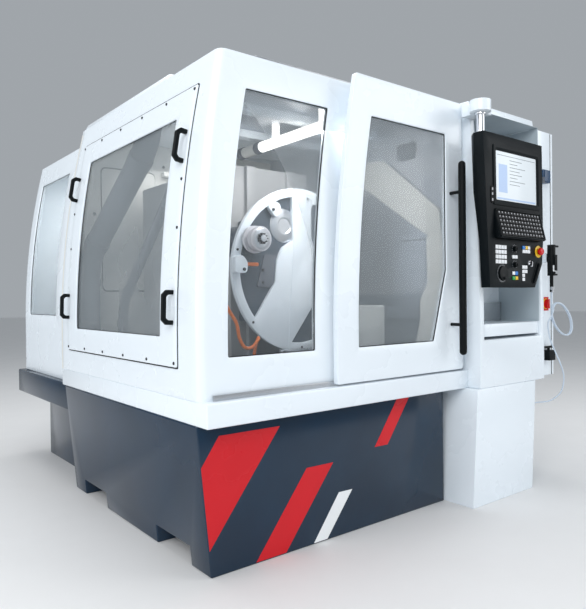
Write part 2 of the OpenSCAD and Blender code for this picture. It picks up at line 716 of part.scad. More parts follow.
// Collars cover the seams between the duct's pieces
collar_len = 40;
collar_rise = 5;
seam = 6;
module duct_collar(y, z, turn, r) translate([0, y, z]) rotate([turn, 0, 0])
    cylinder(h = collar_len, r = r + collar_rise, center = true);
module swung_duct(x, y_d, drop, foot, turn, yaw, r, big_r) {
    z_a = wall_z1 - round(drop);
    z_d = bed_z1 + round(foot);
    run = (z_a - z_d - 2 * big_r * sin(turn)) / cos(turn);
    y_c = y_d - big_r * (1 - cos(turn));
    z_b = z_a - big_r * sin(turn);
    y_b = y_c - run * sin(turn);
    z_c = z_b - run * cos(turn);
    y = y_b - big_r * (1 - cos(turn));
    seam_turn = seam / big_r * 180 / PI;
    translate([x, y_d, 0]) rotate([0, 0, yaw]) translate([0, -y_d, 0]) union() {
        rod_z(0, y, [z_a + seam, wall_z1], r);
        bend(y + big_r, z_a, 180 + seam_turn, turn - 2 * seam_turn, r, big_r);
        translate([0, y_b, z_b]) rotate([180 + turn, 0, 0]) translate([0, 0, seam])
            cylinder(h = run - 2 * seam, r = r);
        bend(y_d - big_r, z_d, seam_turn, turn - 2 * seam_turn, r, big_r);
        rod_z(0, y_d, [bed_z1, z_d - seam], r);
        duct_collar(y, z_a, 0, r);
        duct_collar(y_b, z_b, turn, r);
        duct_collar(y_c, z_c, turn, r);
        duct_collar(y_d, z_d, 0, r);
    }
}
// Drop below the roof and rise above the bed in shares of the height between them
duct_h = wall_z1 - bed_z1;
exhaust_left = 120;
exhaust_back = 106;
exhaust_drop_share = 0.02;
exhaust_foot_share = 0.3267;
exhaust_turn = 45;
exhaust_yaw = 12;
exhaust_r = 60;
exhaust_bend_r = 300;
module exhaust_duct() color("#6b737b") swung_duct(left_x + exhaust_left, chamber_back - exhaust_back,
    duct_h * exhaust_drop_share, duct_h * exhaust_foot_share, exhaust_turn, exhaust_yaw, exhaust_r,
    exhaust_bend_r);
conduit_left_share = 0.2088;
conduit_back = 123;
conduit_drop_share = 0.0932;
conduit_foot_share = 0.141;
conduit_turn = 48;
conduit_r = 26;
conduit_bend_r = 240;
module conduit_duct() color("#59626b") swung_duct(left_x + chamber_w * conduit_left_share,
    chamber_back - conduit_back, duct_h * conduit_drop_share, duct_h * conduit_foot_share, conduit_turn, 0,
    conduit_r, conduit_bend_r);

// Console column with its alcove, the pillar under it and the shelf
column_rise = 26;
column_z1 = roof_z + column_rise;
alcove_side = 35;
alcove_head = 57;
alcove_z0 = 825;
alcove_z1 = column_z1 - alcove_head;
alcove_x = [col_x0 + alcove_side, col_x1 - alcove_side];
alcove_back = col_y0 + alcove_d;
module column_outline() polygon(concat(edge_up(col_y0, column_lean, skirt_z, column_z1),
    [[col_y1, column_z1], [col_y1, skirt_z]]));
module console_column() color("#eef1f5") difference() {
    along_x(col_x0, col_x1) column_outline();
    block(alcove_x, [col_y0 - cut, alcove_back], [alcove_z0, alcove_z1]);
}
pillar_lap = 25;
pillar_w = 534;
pillar_x0 = col_x0 - pillar_lap;
pillar_x1 = pillar_x0 + pillar_w;
// The pillar's foot stands ahead of its top and to the left of it
pillar_kick = 19;
pillar_shift = 72;
// Gland in the pillar's right face where the air hose goes in
gland_r = 11;
gland_len = 20;
gland_back = 30;
gland_z = 440;
module console_pillar() color("#eceff3") union() {
    intersection() {
        along_x(pillar_x0 - pillar_shift - cut, pillar_x1 + cut)
            polygon([[col_y0 - pillar_kick, 0], [col_y1, 0], [col_y1, skirt_z], [col_y0, skirt_z]]);
        along_y(col_y0 - pillar_kick - cut, col_y1 + cut)
            polygon([[pillar_x0 - pillar_shift, 0], [pillar_x1 - pillar_shift, 0], [pillar_x1, skirt_z],
                [pillar_x0, skirt_z]]);
    }
    rod_x([pillar_x1 - pillar_shift, pillar_x1 + gland_len], front_y - gland_back, gland_z, gland_r);
}
shelf_z = 880;
shelf_t = 25;
shelf_front = 15;
lip_h = 40;
lip_t = 8;
module console_shelf() color("#d7dbe0") union() {
    block(alcove_x, [col_y0 + shelf_front, alcove_back], [shelf_z, shelf_z + shelf_t]);
    block(alcove_x, [col_y0 + shelf_front, col_y0 + shelf_front + lip_t], [shelf_z - lip_h, shelf_z]);
}

// Post and bracket that carry the control panel
post_left = 59;
post_front = 50;
post_x = col_x0 - post_left;
post_y = col_y0 - post_front;
bracket_h = 55;
bracket_drop = 15;
bracket_r = 51;
arm_reach = 92;
bracket_z1 = roof_z - bracket_drop;
bracket_z0 = bracket_z1 - bracket_h;
module post_bracket() color("#f3f5f7") difference() {
    union() {
        rod_z(post_x, post_y, [bracket_z0, bracket_z1], bracket_r);
        block([post_x, post_x + arm_reach], [post_y, col_y0 + column_lean], [bracket_z0, bracket_z1]);
    }
    along_x(col_x0, col_x1) column_outline();
}
// Bare length of the post between the panel and the bracket
post_show = 103;
panel_z0 = bracket_z0 - panel_h - post_show;
// The housing is deepest and widest at its top, where it takes the post
panel_foot_d = 50;
foot_h = 230;
panel_front = 47;
sleeve_side = 39;
post_seat = 270;
seat_z = panel_z0 + panel_h - post_seat;
module panel_post() color("#c8ccd0") rod_z(post_x, post_y, [seat_z, bracket_z0], post_r);

// Control panel: u runs right from the post, v up the face, depth goes back from the face
module on_panel() translate([post_x, post_y - panel_front, panel_z0]) rotate([-panel_tilt, 0, 0])
    children();
housing_shares = [[0, 0], [0.82, 0], [0.97, 0.163], [1, 0.33], [1, 1]];
screen_w = 365;
screen_h = 244;
screen_share = [0.504, 0.733];
screen_in = 6;
board_w = 390;
board_h = 143;
board_share = [0.51, 0.413];
board_in = 12;
stop_share = [0.893, 0.25];
jog_share = [0.215, 0.092];
feed_share = [0.44, 0.257];
speed_share = [0.44, 0.152];
grip_shares = [[0.791, 0.043], [0.885, 0.156]];
grip_slot_r = 14;
grip_step = 0.5;
// Radius and depth of the control shafts' bores
stop_shaft_r = 8;
knob_shaft_r = 5;
control_clear = 0.05;
control_bore = 40;
control_shaft = 30;
control_lift = 0.4;
function on_face(share) = [share[0] * panel_w, share[1] * panel_h];
module panel_recess(share, w, h, in) let (at = on_face(share))
    block(span(at[0], w), [-cut, in], span(at[1], h));
module control_hole(share, r) let (at = on_face(share))
    rod_y(at[0], [-cut, control_bore], at[1], r + control_clear);
module grip_slot() for (i = [0, 1]) let (at = on_face(grip_shares[i]))
    rod_y(at[0], [-cut, panel_d + cut], at[1], grip_slot_r);
grip_from = on_face(grip_shares[0]);
grip_run = on_face(grip_shares[1]) - grip_from;
back_slope = (panel_d - panel_foot_d) / (panel_h - foot_h);
module panel_housing() color("#17191c") difference() {
    on_panel() along_y(0, panel_d)
        polygon(concat([for (p = housing_shares) on_face(p)], [[-sleeve_side, panel_h]]));
    rod_z(post_x, post_y, [seat_z - slide_gap, bracket_z0], post_r + post_clear);
    on_panel() union() {
        along_x(-sleeve_side - cut, panel_w + cut) polygon([[panel_foot_d, -cut], [panel_foot_d, foot_h],
            [panel_d + back_slope * cut, panel_h + cut], [panel_d + cut, panel_h + cut], [panel_d + cut, -cut]]);
        along_z(-cut, panel_h + cut) polygon([[cut, panel_d + cut], [-sleeve_side - cut, panel_d + cut],
            [-sleeve_side - cut, panel_d - sleeve_side - cut]]);
        panel_recess(screen_share, screen_w, screen_h, screen_in);
        panel_recess(board_share, board_w, board_h, board_in);
        control_hole(stop_share, stop_shaft_r);
        control_hole(jog_share, stop_shaft_r);
        control_hole(feed_share, knob_shaft_r);
        control_hole(speed_share, knob_shaft_r);
        grip_slot();
        along_y(-cut, panel_d + cut) translate(grip_from) rotate(atan2(grip_run[1], grip_run[0]))
            translate([0, grip_step - grip_slot_r]) square([norm(grip_run), 2 * (grip_slot_r - grip_step)]);
    }
}
screen_t = 5;
module screen() color("#cfe3ee") on_panel() let (at = on_face(screen_share))
    block(span(at[0], screen_w), [screen_in - screen_t, screen_in], span(at[1], screen_h));
// Keyboard: a tray with rows of keys
board_t = 8;
key_rows = 5;
key_cols = 14;
key_gap = 4;
key_rise = 7;
key_pitch_u = board_w / key_cols;
key_pitch_v = board_h / key_rows;
module keyboard() color("#202326") on_panel() let (at = on_face(board_share)) union() {
    block(span(at[0], board_w), [board_in - board_t, board_in], span(at[1], board_h));
    for (i = [0:key_cols - 1], j = [0:key_rows - 1])
        block(span(at[0] - board_w / 2 + key_pitch_u * (i + 1 / 2), key_pitch_u - key_gap),
            [board_in - board_t - key_rise, board_in - board_t],
            span(at[1] - board_h / 2 + key_pitch_v * (j + 1 / 2), key_pitch_v - key_gap));
}
// Raised keys on the face: a pad of four by four, switches and key pairs beside the knobs
pad_share = [0.191, 0.216];
pad_count = 4;
pad_pitch = 24;
pad_key = 19;
pad_rise = 5;
switch_shares = [[0.604, 0.271], [0.653, 0.271], [0.702, 0.271], [0.604, 0.245], [0.653, 0.245],
    [0.702, 0.245], [0.594, 0.138], [0.643, 0.138], [0.594, 0.109], [0.643, 0.109], [0.594, 0.082],
    [0.594, 0.055], [0.411, 0.204], [0.46, 0.204], [0.411, 0.095], [0.46, 0.095], [0.411, 0.062],
    [0.46, 0.062]];
switch_w = 20;
switch_h = 17;
module face_key(at, w, h) block(span(at[0], w), [-pad_rise, 0], span(at[1], h));
module panel_keys() color("#e7e9ec") on_panel() {
    for (i = [0:pad_count - 1], j = [0:pad_count - 1])
        face_key(on_face(pad_share) + pad_pitch * [i - (pad_count - 1) / 2, j - (pad_count - 1) / 2],
            pad_key, pad_key);
    for (s = switch_shares) face_key(on_face(s), switch_w, switch_h);
}
stop_r = 20;
stop_head = 16;
stop_lift = 10;
stop_edge = 5;
module stop_button() color("#c8202a") on_panel() let (at = on_face(stop_share)) union() {
    rod_y(at[0], [-stop_lift, control_shaft], at[1], stop_shaft_r);
    translate([at[0], -stop_lift, at[1]]) rotate([90, 0, 0]) rotate_extrude()
        polygon([[0, 0], [stop_r, 0], [stop_r, stop_head - stop_edge], [stop_r - stop_edge, stop_head],
            [0, stop_head]]);
}
module turned_control(share, shaft, r, h) on_panel() let (at = on_face(share)) union() {
    rod_y(at[0], [-control_lift - h, control_shaft], at[1], shaft);
    rod_y(at[0], [-control_lift - h, -control_lift], at[1], r);
}
jog_r = 36;
jog_h = 11;
jog_knob_r = 7;
jog_knob_h = 9;
jog_knob_share = 0.66;
module jog_wheel() color("#2b2e32") union() {
    turned_control(jog_share, stop_shaft_r, jog_r, jog_h);
    on_panel() let (at = on_face(jog_share)) rod_y(at[0],
        [-control_lift - jog_h - jog_knob_h, -control_lift - jog_h], at[1] - jog_r * jog_knob_share,
        jog_knob_r);
}
knob_r = 13;
knob_h = 15;
pointer_w = 6;
pointer_h = 5;
module pointer_knob(share) union() {
    turned_control(share, knob_shaft_r, knob_r, knob_h);
    on_panel() let (at = on_face(share)) block(span(at[0], pointer_w),
        [-control_lift - knob_h - pointer_h, -control_lift - knob_h], span(at[1], knob_r));
}
module feed_knob() color("#303338") pointer_knob(feed_share);
module speed_knob() color("#303338") pointer_knob(speed_share);

// Cabinet behind the console, with its pod, plinth and gun bracket
cover_t = 27;
cab_drop = 12;
cab_x1 = right_x - cover_t;
cab_z1 = roof_z - cab_drop;
plinth_w = 560;
plinth_front = 80;
plinth_back = 46;
// Air gun, its bracket and the switch on the pod, from the pod's left edge
gun_left = 86;
hook_w = 40;
hook_out = 50;
hook_z = [1240, 1290];
switch_left = 143;
switch_z = 1000;
switch_shaft_r = 6;
switch_shaft = 25;
module cabinet() color("#e9ecf0") difference() {
    union() {
        along_y(col_y1, chamber_back) polygon([[skirt_right, skirt_z], [cab_x1, skirt_z], [cab_x1, cab_z1],
            [chamber_right, cab_z1], [chamber_right, wall_z0], [skirt_right, wall_z0]]);
        block([col_x1, cab_x1], [front_y, col_y1], [skirt_z, cab_z1]);
        block(span(col_x1 + gun_left, hook_w), [front_y - hook_out, front_y], hook_z);
    }
    block([chamber_right + wall_t, cab_x1 + cut], [col_y1 + wall_t, chamber_back - wall_t],
        [wall_z0 + wall_t, cab_z1 - wall_t]);
    rod_y(col_x1 + switch_left, [front_y - cut, front_y + control_bore], switch_z,
        switch_shaft_r + control_clear);
}
module cabinet_plinth() color("#e9ecf0") block([skirt_right, skirt_right + plinth_w],
    [col_y1 + plinth_front, chamber_back - plinth_back], [0, skirt_z]);
module cabinet_cover() color("#eef1f4") block([cab_x1, right_x], [front_y, chamber_back],
    [skirt_z, cab_z1]);
// Socket box and air regulator on the pod's front
socket_left = 63;
socket_w = 75;
socket_h = 75;
socket_out = 42;
socket_drop = 320;
socket_z1 = roof_z - socket_drop + socket_h;
module socket_box() color("#16324f") block([col_x1 + socket_left, col_x1 + socket_left + socket_w],
    [front_y - socket_out, front_y], [socket_z1 - socket_h, socket_z1]);
regulator_left = 132;
regulator_w = 64;
regulator_out = 50;
regulator_z = [672, 730];
stem_r = 8;
stem_h = 12;
bar_w = 96;
bar_t = 12;
module air_regulator() color("#1c1e21") translate([col_x1 + regulator_left, front_y - regulator_out / 2, 0])
    union() {
        block(span(0, regulator_w), span(0, regulator_out), regulator_z);
        rod_z(0, 0, [regulator_z[1], regulator_z[1] + stem_h], stem_r);
        block(span(0, bar_w), span(0, bar_t), [regulator_z[1] + stem_h, regulator_z[1] + stem_h + bar_t]);
    }
switch_r = 27;
switch_base = 8;
switch_grip_w = 14;
switch_grip = 18;
module mains_switch() color("#c3242c") union() {
    rod_y(col_x1 + switch_left, [front_y - control_lift, front_y + switch_shaft], switch_z, switch_shaft_r);
    rod_y(col_x1 + switch_left, [front_y - control_lift - switch_base, front_y - control_lift], switch_z,
        switch_r);
    block(span(col_x1 + switch_left, switch_grip_w), [front_y - control_lift - switch_base - switch_grip,
        front_y - control_lift - switch_base], span(switch_z, 2 * switch_r));
}
gun_r = 22;
gun_z = [1162, 1338];
neck_r = 10;
neck_len = 94;
nozzle_r = 6;
nozzle_len = 70;
gun_y = front_y - hook_out - gun_r;
trigger_t = 8;
trigger_z = [1190, 1280];
module air_gun() color("#26292d") union() {
    rod_z(col_x1 + gun_left, gun_y, gun_z, gun_r);
    rod_z(col_x1 + gun_left, gun_y, [gun_z[0] - neck_len, gun_z[0]], neck_r);
    block(span(col_x1 + gun_left, gun_r), [gun_y, front_y - hook_out], hook_z);
    block(span(col_x1 + gun_left, gun_r), [gun_y - gun_r - trigger_t, gun_y], trigger_z);
    translate([col_x1 + gun_left, gun_y, gun_z[1] - nozzle_r]) rotate([0, 90, 0])
        cylinder(h = nozzle_len, r = nozzle_r);
}

// Air hose from the gun's foot through two turns to the pillar's gland, from the pod's front left foot
hose_lead = [[86, -72, 1068], [86, -72, 1040], [84, -73, 1000], [81, -75, 955]];
hose_tail = [[45, -90, 925], [32, -79, 886], [43, -85, 803], [71, -98, 733], [97, -118, 655], [114, -126, 592],
    [107, -126, 538], [95, -112, 489], [68, -75, 450], [36, -45, 440], [-7, -31, 440], [-76, -30, 440]];
loop_at = [123, -104, 914];
loop_w = 52;
loop_h = 92;
loop_skew = 28;
loop_dir = [0.85, -0.53, 0];
loop_normal = [0.53, 0.85, 0];
loop_shift = 28;
loop_turn = 690;
loop_rings = 46;
ring_step = 24;
hose_loop = [for (i = [0:loop_rings]) let (a = 180 + loop_turn * i / loop_rings)
    loop_at + (loop_w * cos(a) - loop_skew * sin(a)) * loop_dir + [0, 0, loop_h * sin(a)]
        - loop_shift * i / loop_rings * loop_normal];
hose_points = concat(hose_lead, hose_loop, hose_tail);
function at_end(list, i) = i < 0 ? 2 * list[0] - list[1]
    : i >= len(list) ? 2 * list[len(list) - 1] - list[len(list) - 2] : list[i];
// A smooth curve through the points, with t from 0 to 1 between the second and the third
function through(a, b, c, d, t) = b + (c - a) * t / 2 + (2 * a - 5 * b + 4 * c - d) * t * t / 2
    + (3 * b - a - 3 * c + d) * t * t * t / 2;
hose_path = concat([for (i = [0:len(hose_points) - 2])
    let (n = ceil(norm(hose_points[i + 1] - hose_points[i]) / ring_step))
    for (k = [0:n - 1]) through(at_end(hose_points, i - 1), hose_points[i], hose_points[i + 1],
        at_end(hose_points, i + 2), k / n)], [hose_points[len(hose_points) - 1]]);
function unit(v) = v / norm(v);
function heading(i) = unit(at_end(hose_path, i + 1) - at_end(hose_path, i - 1));
function ring(i) = let (t = heading(i), u = unit(cross(t, loop_normal)), v = cross(t, u))
    [for (k = [0:hose_sides - 1]) let (a = 360 * k / hose_sides)
        hose_path[i] + hose_dia / 2 * (cos(a) * u + sin(a) * v)];
hose_count = len(hose_path);
hose_skin = [for (i = [0:hose_count - 1]) each ring(i)];
hose_sides_faces = [for (i = [0:hose_count - 2], k = [0:hose_sides - 1]) let (a = i * hose_sides + k,
    b = i * hose_sides + (k + 1) % hose_sides, c = a + hose_sides, d = b + hose_sides)
    each [[a, c, d], [a, d, b]]];
hose_caps = [for (k = [1:hose_sides - 2]) each [[0, k, k + 1],
    [(hose_count - 1) * hose_sides, (hose_count - 1) * hose_sides + k + 1,
        (hose_count - 1) * hose_sides + k]]];
module air_hose() color("#2f3a45") translate([col_x1, front_y, 0])
    polyhedron(points = hose_skin, faces = concat(hose_sides_faces, hose_caps));
// Least gap of the hose to itself, between rings that lie more than a third of a turn apart
apart = loop_rings / 6;
echo(hose_rings = hose_count, hose_gap = min([for (i = [0:hose_count - 1])
    for (k = [i + apart:hose_count - 1]) norm(hose_path[i] - hose_path[k])]) - hose_dia);

base_casting();
rear_tank();
skirt_frame();
front_panel();
front_window();
door_header();
door_post();
left_wall();
service_panel();
service_window();
grab_handles();
service_screws();
right_wall();
roof_panel();
roof_cover();
bulkhead();
rear_left_wall();
rear_window();
rear_shell();
rear_roof();
loader_tower();
door_tracks();
door_shell();
door_window();
door_pull();
door_hangers();
bed_casting();
table_rails();
work_table();
workhead();
collet_chuck();
tool_blank();
head_column();
way_cover();
wheel_saddle();
wheel_head();
round_guard();
coolant_pipe();
wheel_arbor();
grinding_wheels();
work_lamp();
exhaust_duct();
conduit_duct();
console_column();
console_pillar();
console_shelf();
panel_post();
post_bracket();
panel_housing();
screen();
keyboard();
panel_keys();
stop_button();
jog_wheel();
feed_knob();
speed_knob();
cabinet();
cabinet_plinth();
cabinet_cover();
socket_box();
air_regulator();
mains_switch();
air_gun();
air_hose();
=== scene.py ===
"""Looks of an enclosed tool and cutter grinder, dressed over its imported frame."""

from __future__ import annotations

import json
import logging
import math
from dataclasses import dataclass, field
from enum import Enum
from typing import Callable, Sequence

import bmesh
import bpy
import numpy as np
from mathutils import Matrix, Vector

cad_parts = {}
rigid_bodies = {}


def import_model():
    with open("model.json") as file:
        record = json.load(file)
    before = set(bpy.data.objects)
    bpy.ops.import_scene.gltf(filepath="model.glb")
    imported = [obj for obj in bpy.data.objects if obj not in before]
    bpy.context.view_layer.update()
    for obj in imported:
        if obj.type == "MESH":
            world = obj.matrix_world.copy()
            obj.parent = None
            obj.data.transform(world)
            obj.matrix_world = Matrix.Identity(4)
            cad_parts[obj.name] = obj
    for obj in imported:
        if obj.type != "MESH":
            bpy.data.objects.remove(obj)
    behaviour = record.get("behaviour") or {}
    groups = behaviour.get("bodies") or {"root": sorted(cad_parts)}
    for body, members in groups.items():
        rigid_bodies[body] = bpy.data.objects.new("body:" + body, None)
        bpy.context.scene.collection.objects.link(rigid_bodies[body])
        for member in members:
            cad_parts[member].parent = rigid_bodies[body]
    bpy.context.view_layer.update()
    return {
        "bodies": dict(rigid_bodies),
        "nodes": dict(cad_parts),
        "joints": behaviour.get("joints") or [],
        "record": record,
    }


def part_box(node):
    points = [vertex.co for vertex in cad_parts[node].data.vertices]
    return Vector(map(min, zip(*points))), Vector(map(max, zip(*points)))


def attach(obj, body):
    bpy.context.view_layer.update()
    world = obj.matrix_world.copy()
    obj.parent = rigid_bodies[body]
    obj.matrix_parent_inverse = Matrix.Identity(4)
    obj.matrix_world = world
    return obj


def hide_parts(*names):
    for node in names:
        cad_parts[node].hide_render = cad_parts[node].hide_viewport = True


LOG = logging.getLogger("grinder")

Colour = tuple[float, float, float]
Span = tuple[float, float]
Point = tuple[float, float, float]
Outline = Sequence[Sequence[float]]

IMAGE_W = 586
FOCAL_PX = 613.86
SENSOR_W = 36.0
SMOOTH_ANGLE = math.radians(32)
FLAT_ANGLE = math.radians(0.2)
SAME_POINT = 1e-6
SAME_CORNER = 1e-5
SCREW_SIDES = 16
# How far trim sinks into its seat.
SUNK = 0.001
# Sockets of a mix node for colours: factor, first and second colour, and the result.
MIX_INPUTS = (0, 6, 7)
MIX_OUTPUT = 2
TO_FRONT = np.array([[1.0, 0.0, 0.0], [0.0, 0.0, -1.0], [0.0, 1.0, 0.0]])


class Body(str, Enum):
    """Bodies of the frame that pieces ride on."""

    MACHINE = "machine"
    DOOR = "front_door"
    TABLE = "table"
    WORK_SPINDLE = "work_spindle"
    SADDLE = "saddle"
    HEAD = "head"
    WHEELS = "wheel_spindle"
    PANEL = "control_panel"
    STOP = "stop_button"
    JOG = "jog_wheel"
    FEED = "feed_knob"
    SPEED = "speed_knob"
    MAINS = "mains_switch"


class Axis(Enum):
    """Row axes, by their index in a point."""

    X = 0
    Y = 1
    Z = 2


class Edge(float, Enum):
    """Widths of rounded edges."""

    NONE = 0.0
    KEEN = 0.001
    CRISP = 0.0012
    FINE = 0.0015
    THIN = 0.002
    SHEET = 0.0025
    SOFT = 0.003
    EASED = 0.004
    FIRM = 0.005
    ROUND = 0.006
    BROAD = 0.008
    WIDE = 0.012
    FULL = 0.02


# Shapes


@dataclass
class Shape:
    """Points and faces of a surface before it becomes a mesh.

    Args:
        points: Array of N points.
        quads: Array of M faces of four corners.
        caps: Faces with any number of corners.
    """

    points: np.ndarray
    quads: np.ndarray = field(default_factory=lambda: np.zeros((0, 4), int))
    caps: list[list[int]] = field(default_factory=list)

    def mesh(self, name: str, closed: bool) -> bpy.types.Mesh:
        """Puts the surface into a new mesh.

        Args:
            name: Name of the mesh.
            closed: Whether it is a closed surface, whose normals then point outwards.

        Returns:
            The mesh, with doubles merged.
        """
        mesh = bpy.data.meshes.new(name)
        mesh.from_pydata(self.points.tolist(), [], self.quads.tolist() + self.caps)
        work = bmesh.new()
        work.from_mesh(mesh)
        bmesh.ops.remove_doubles(work, verts=work.verts, dist=SAME_POINT)
        if closed:
            bmesh.ops.recalc_face_normals(work, faces=work.faces)
        work.to_mesh(mesh)
        work.free()
        return mesh

    def moved(self, offset: Sequence[float]) -> "Shape":
        """Returns the surface shifted by an offset."""
        return Shape(self.points + np.asarray(offset, float), self.quads, self.caps)

    def turned(self, matrix: np.ndarray) -> "Shape":
        """Returns the surface with every point multiplied by a 3 by 3 matrix."""
        return Shape(self.points @ np.asarray(matrix, float).T, self.quads, self.caps)


def join(shapes: Sequence[Shape]) -> Shape:
    """Joins surfaces into one by stacking their arrays.

    Args:
        shapes: The surfaces.

    Returns:
        One surface with all points and faces.
    """
    starts = np.cumsum([0] + [len(s.points) for s in shapes[:-1]])
    quads = [s.quads + k for s, k in zip(shapes, starts)]
    caps = [[int(i + k) for i in cap] for s, k in zip(shapes, starts) for cap in s.caps]
    return Shape(np.concatenate([s.points for s in shapes]), np.concatenate(quads), caps)


def grid(points: np.ndarray, close_rows: bool = False, close_cols: bool = False) -> Shape:
    """Faces over a grid of points: each cell of the grid is one quad.

    Args:
        points: Array of rows by columns by 3.
        close_rows: Whether the last row joins the first.
        close_cols: Whether the last column joins the first.

    Returns:
        The surface.
    """
    rows, cols = points.shape[:2]
    i = np.arange(rows if close_rows else rows - 1)[:, None]
    j = np.arange(cols if close_cols else cols - 1)[None, :]
    nxt_i, nxt_j = (i + 1) % rows, (j + 1) % cols
    quads = np.stack([i * cols + j, i * cols + nxt_j, nxt_i * cols + nxt_j, nxt_i * cols + j], -1)
    return Shape(points.reshape(-1, 3), quads.reshape(-1, 4))


def rounded_loop(corners: Outline, size: float, arc: int = 4, run: int = 16) -> np.ndarray:
    """A closed outline whose corners are parabolas between points a given size before and after them.

    Args:
        corners: Corner points in any number of dimensions.
        size: Distance from a corner to the ends of its round.
        arc: Points on each round.
        run: Points on each straight stretch.

    Returns:
        Points along the loop, as many for any loop with the same number of corners.
    """
    most_share = 1 / 2.01
    at = np.asarray(corners, float)
    after = np.roll(at, -1, 0) - at
    reach = np.linalg.norm(after[:, :2], axis=1)[:, None]
    step = after / reach * np.minimum(size, reach * most_share)
    out, into = at + step, at - np.roll(step, 1, 0)
    s = np.linspace(0, 1, arc, endpoint=False)[None, :, None]
    rounds = (1 - s) ** 2 * into[:, None] + 2 * s * (1 - s) * at[:, None] + s**2 * out[:, None]
    t = np.linspace(0, 1, run, endpoint=False)[None, :, None]
    runs = out[:, None] * (1 - t) + np.roll(into, -1, 0)[:, None] * t
    return np.concatenate([rounds, runs], 1).reshape(-1, at.shape[1])


def between(outer: np.ndarray, inner: np.ndarray, rows: int = 5) -> np.ndarray:
    """A band of loops that go from one outline to another in equal steps."""
    t = np.linspace(0, 1, rows)[:, None, None]
    return outer[None] * (1 - t) + inner[None] * t


def to_centre(loop: np.ndarray, rows: int = 9) -> np.ndarray:
    """A filled face: the loop shrinks to its middle in equal steps."""
    middle = np.broadcast_to((loop.max(0) + loop.min(0)) / 2, loop.shape)
    return between(loop, middle, rows)


def lathe(profile: Outline, sides: int = 64) -> Shape:
    """A profile of (radius, height) points turned round the z axis.

    Args:
        profile: Radius and height of each point, from one pole to the other.
        sides: Steps round the axis.

    Returns:
        The closed surface.
    """
    line = np.asarray(profile, float)
    a = np.linspace(0, 2 * math.pi, sides, endpoint=False)[None, :]
    r, z = line[:, :1], line[:, 1:]
    points = np.stack([r * np.cos(a), r * np.sin(a), z + 0 * a], -1)
    return grid(points, close_cols=True)


def smooth_path(points: Outline, steps: int = 8) -> np.ndarray:
    """A cubic curve through points, whose slope at each is half the step between its neighbours.

    Args:
        points: The points that the curve passes.
        steps: Points on the curve between two given ones.

    Returns:
        Points along the curve.
    """
    p = np.asarray(points, float)
    ext = np.concatenate([2 * p[:1] - p[1:2], p, 2 * p[-1:] - p[-2:-1]])
    a, b, c, d = (ext[k : len(ext) - 3 + k][:, None] for k in range(4))
    t = np.linspace(0, 1, steps, endpoint=False)[None, :, None]
    curve = b + (c - a) * t / 2 + (2 * a - 5 * b + 4 * c - d) * t**2 / 2 + (3 * b - a - 3 * c + d) * t**3 / 2
    return np.concatenate([curve.reshape(-1, 3), p[-1:]])


def tube(path: np.ndarray, radius: float | np.ndarray, sides: int = 16, closed: bool = False) -> Shape:
    """A round section carried along a path, square to it at each point.

    Args:
        path: Points of the middle line.
        radius: One radius, or one for each point.
        sides: Points round the section.
        closed: Whether the path's end joins its start.

    Returns:
        The tube, with flat ends unless it is closed.
    """
    if closed:
        ahead = np.roll(path, -1, 0) - np.roll(path, 1, 0)
    else:
        ahead = np.gradient(path, axis=0)
    ahead /= np.linalg.norm(ahead, axis=1)[:, None]
    guide = np.eye(3)[np.argmin(np.abs(ahead).max(0))]
    side = np.cross(ahead, guide)
    side /= np.linalg.norm(side, axis=1)[:, None]
    up = np.cross(side, ahead)
    a = np.linspace(0, 2 * math.pi, sides, endpoint=False)[None, :, None]
    r = np.broadcast_to(np.asarray(radius, float), (len(path),))[:, None, None]
    points = path[:, None] + r * (np.cos(a) * side[:, None] + np.sin(a) * up[:, None])
    shape = grid(points, close_rows=closed, close_cols=True)
    if not closed:
        last = (len(path) - 1) * sides
        shape.caps = [list(range(sides))[::-1], list(range(last, last + sides))]
    return shape


def prism(outline: Outline, span: Span, axis: Axis) -> Shape:
    """An outline carried straight along an axis, with both ends closed.

    Args:
        outline: Points in the other two axes, in their X, Y, Z order.
        span: Where it starts and ends along the axis.
        axis: The axis.

    Returns:
        The closed surface.
    """
    loop = np.asarray(outline, float)
    count = len(loop)
    ends = [np.insert(loop, axis.value, end, axis=1) for end in span]
    shape = grid(np.stack(ends), close_cols=True)
    shape.caps = [list(range(count))[::-1], list(range(count, 2 * count))]
    return shape


def box(x: Span, y: Span, z: Span) -> Shape:
    """A block between two corners."""
    return prism([(x[0], y[0]), (x[1], y[0]), (x[1], y[1]), (x[0], y[1])], z, Axis.Z)


def along(axis: Axis, shape: Shape) -> Shape:
    """Turns a surface made about the z axis so that its z axis lies along another axis."""
    order = {Axis.X: (2, 0, 1), Axis.Y: (1, 2, 0), Axis.Z: (0, 1, 2)}[axis]
    return Shape(shape.points[:, order], shape.quads, shape.caps)


def stud(radius: float, height: float, edge: float = 0.0, sides: int = 32) -> Shape:
    """A short round post up the z axis with a bevelled top."""
    return lathe([(0, 0), (radius, 0), (radius, height - edge), (radius - edge, height), (0, height)], sides)


def to_front(shape: Shape, at: Sequence[float]) -> Shape:
    """Turns a surface's z axis to the front and moves it to a place."""
    return shape.turned(TO_FRONT).moved(at)


def tipped(angle: float) -> np.ndarray:
    """A turn about the x axis by an angle in degrees that takes the top of a face back."""
    c, s = math.cos(math.radians(angle)), math.sin(math.radians(angle))
    return np.array([[1.0, 0.0, 0.0], [0.0, c, s], [0.0, -s, c]])


# Pieces


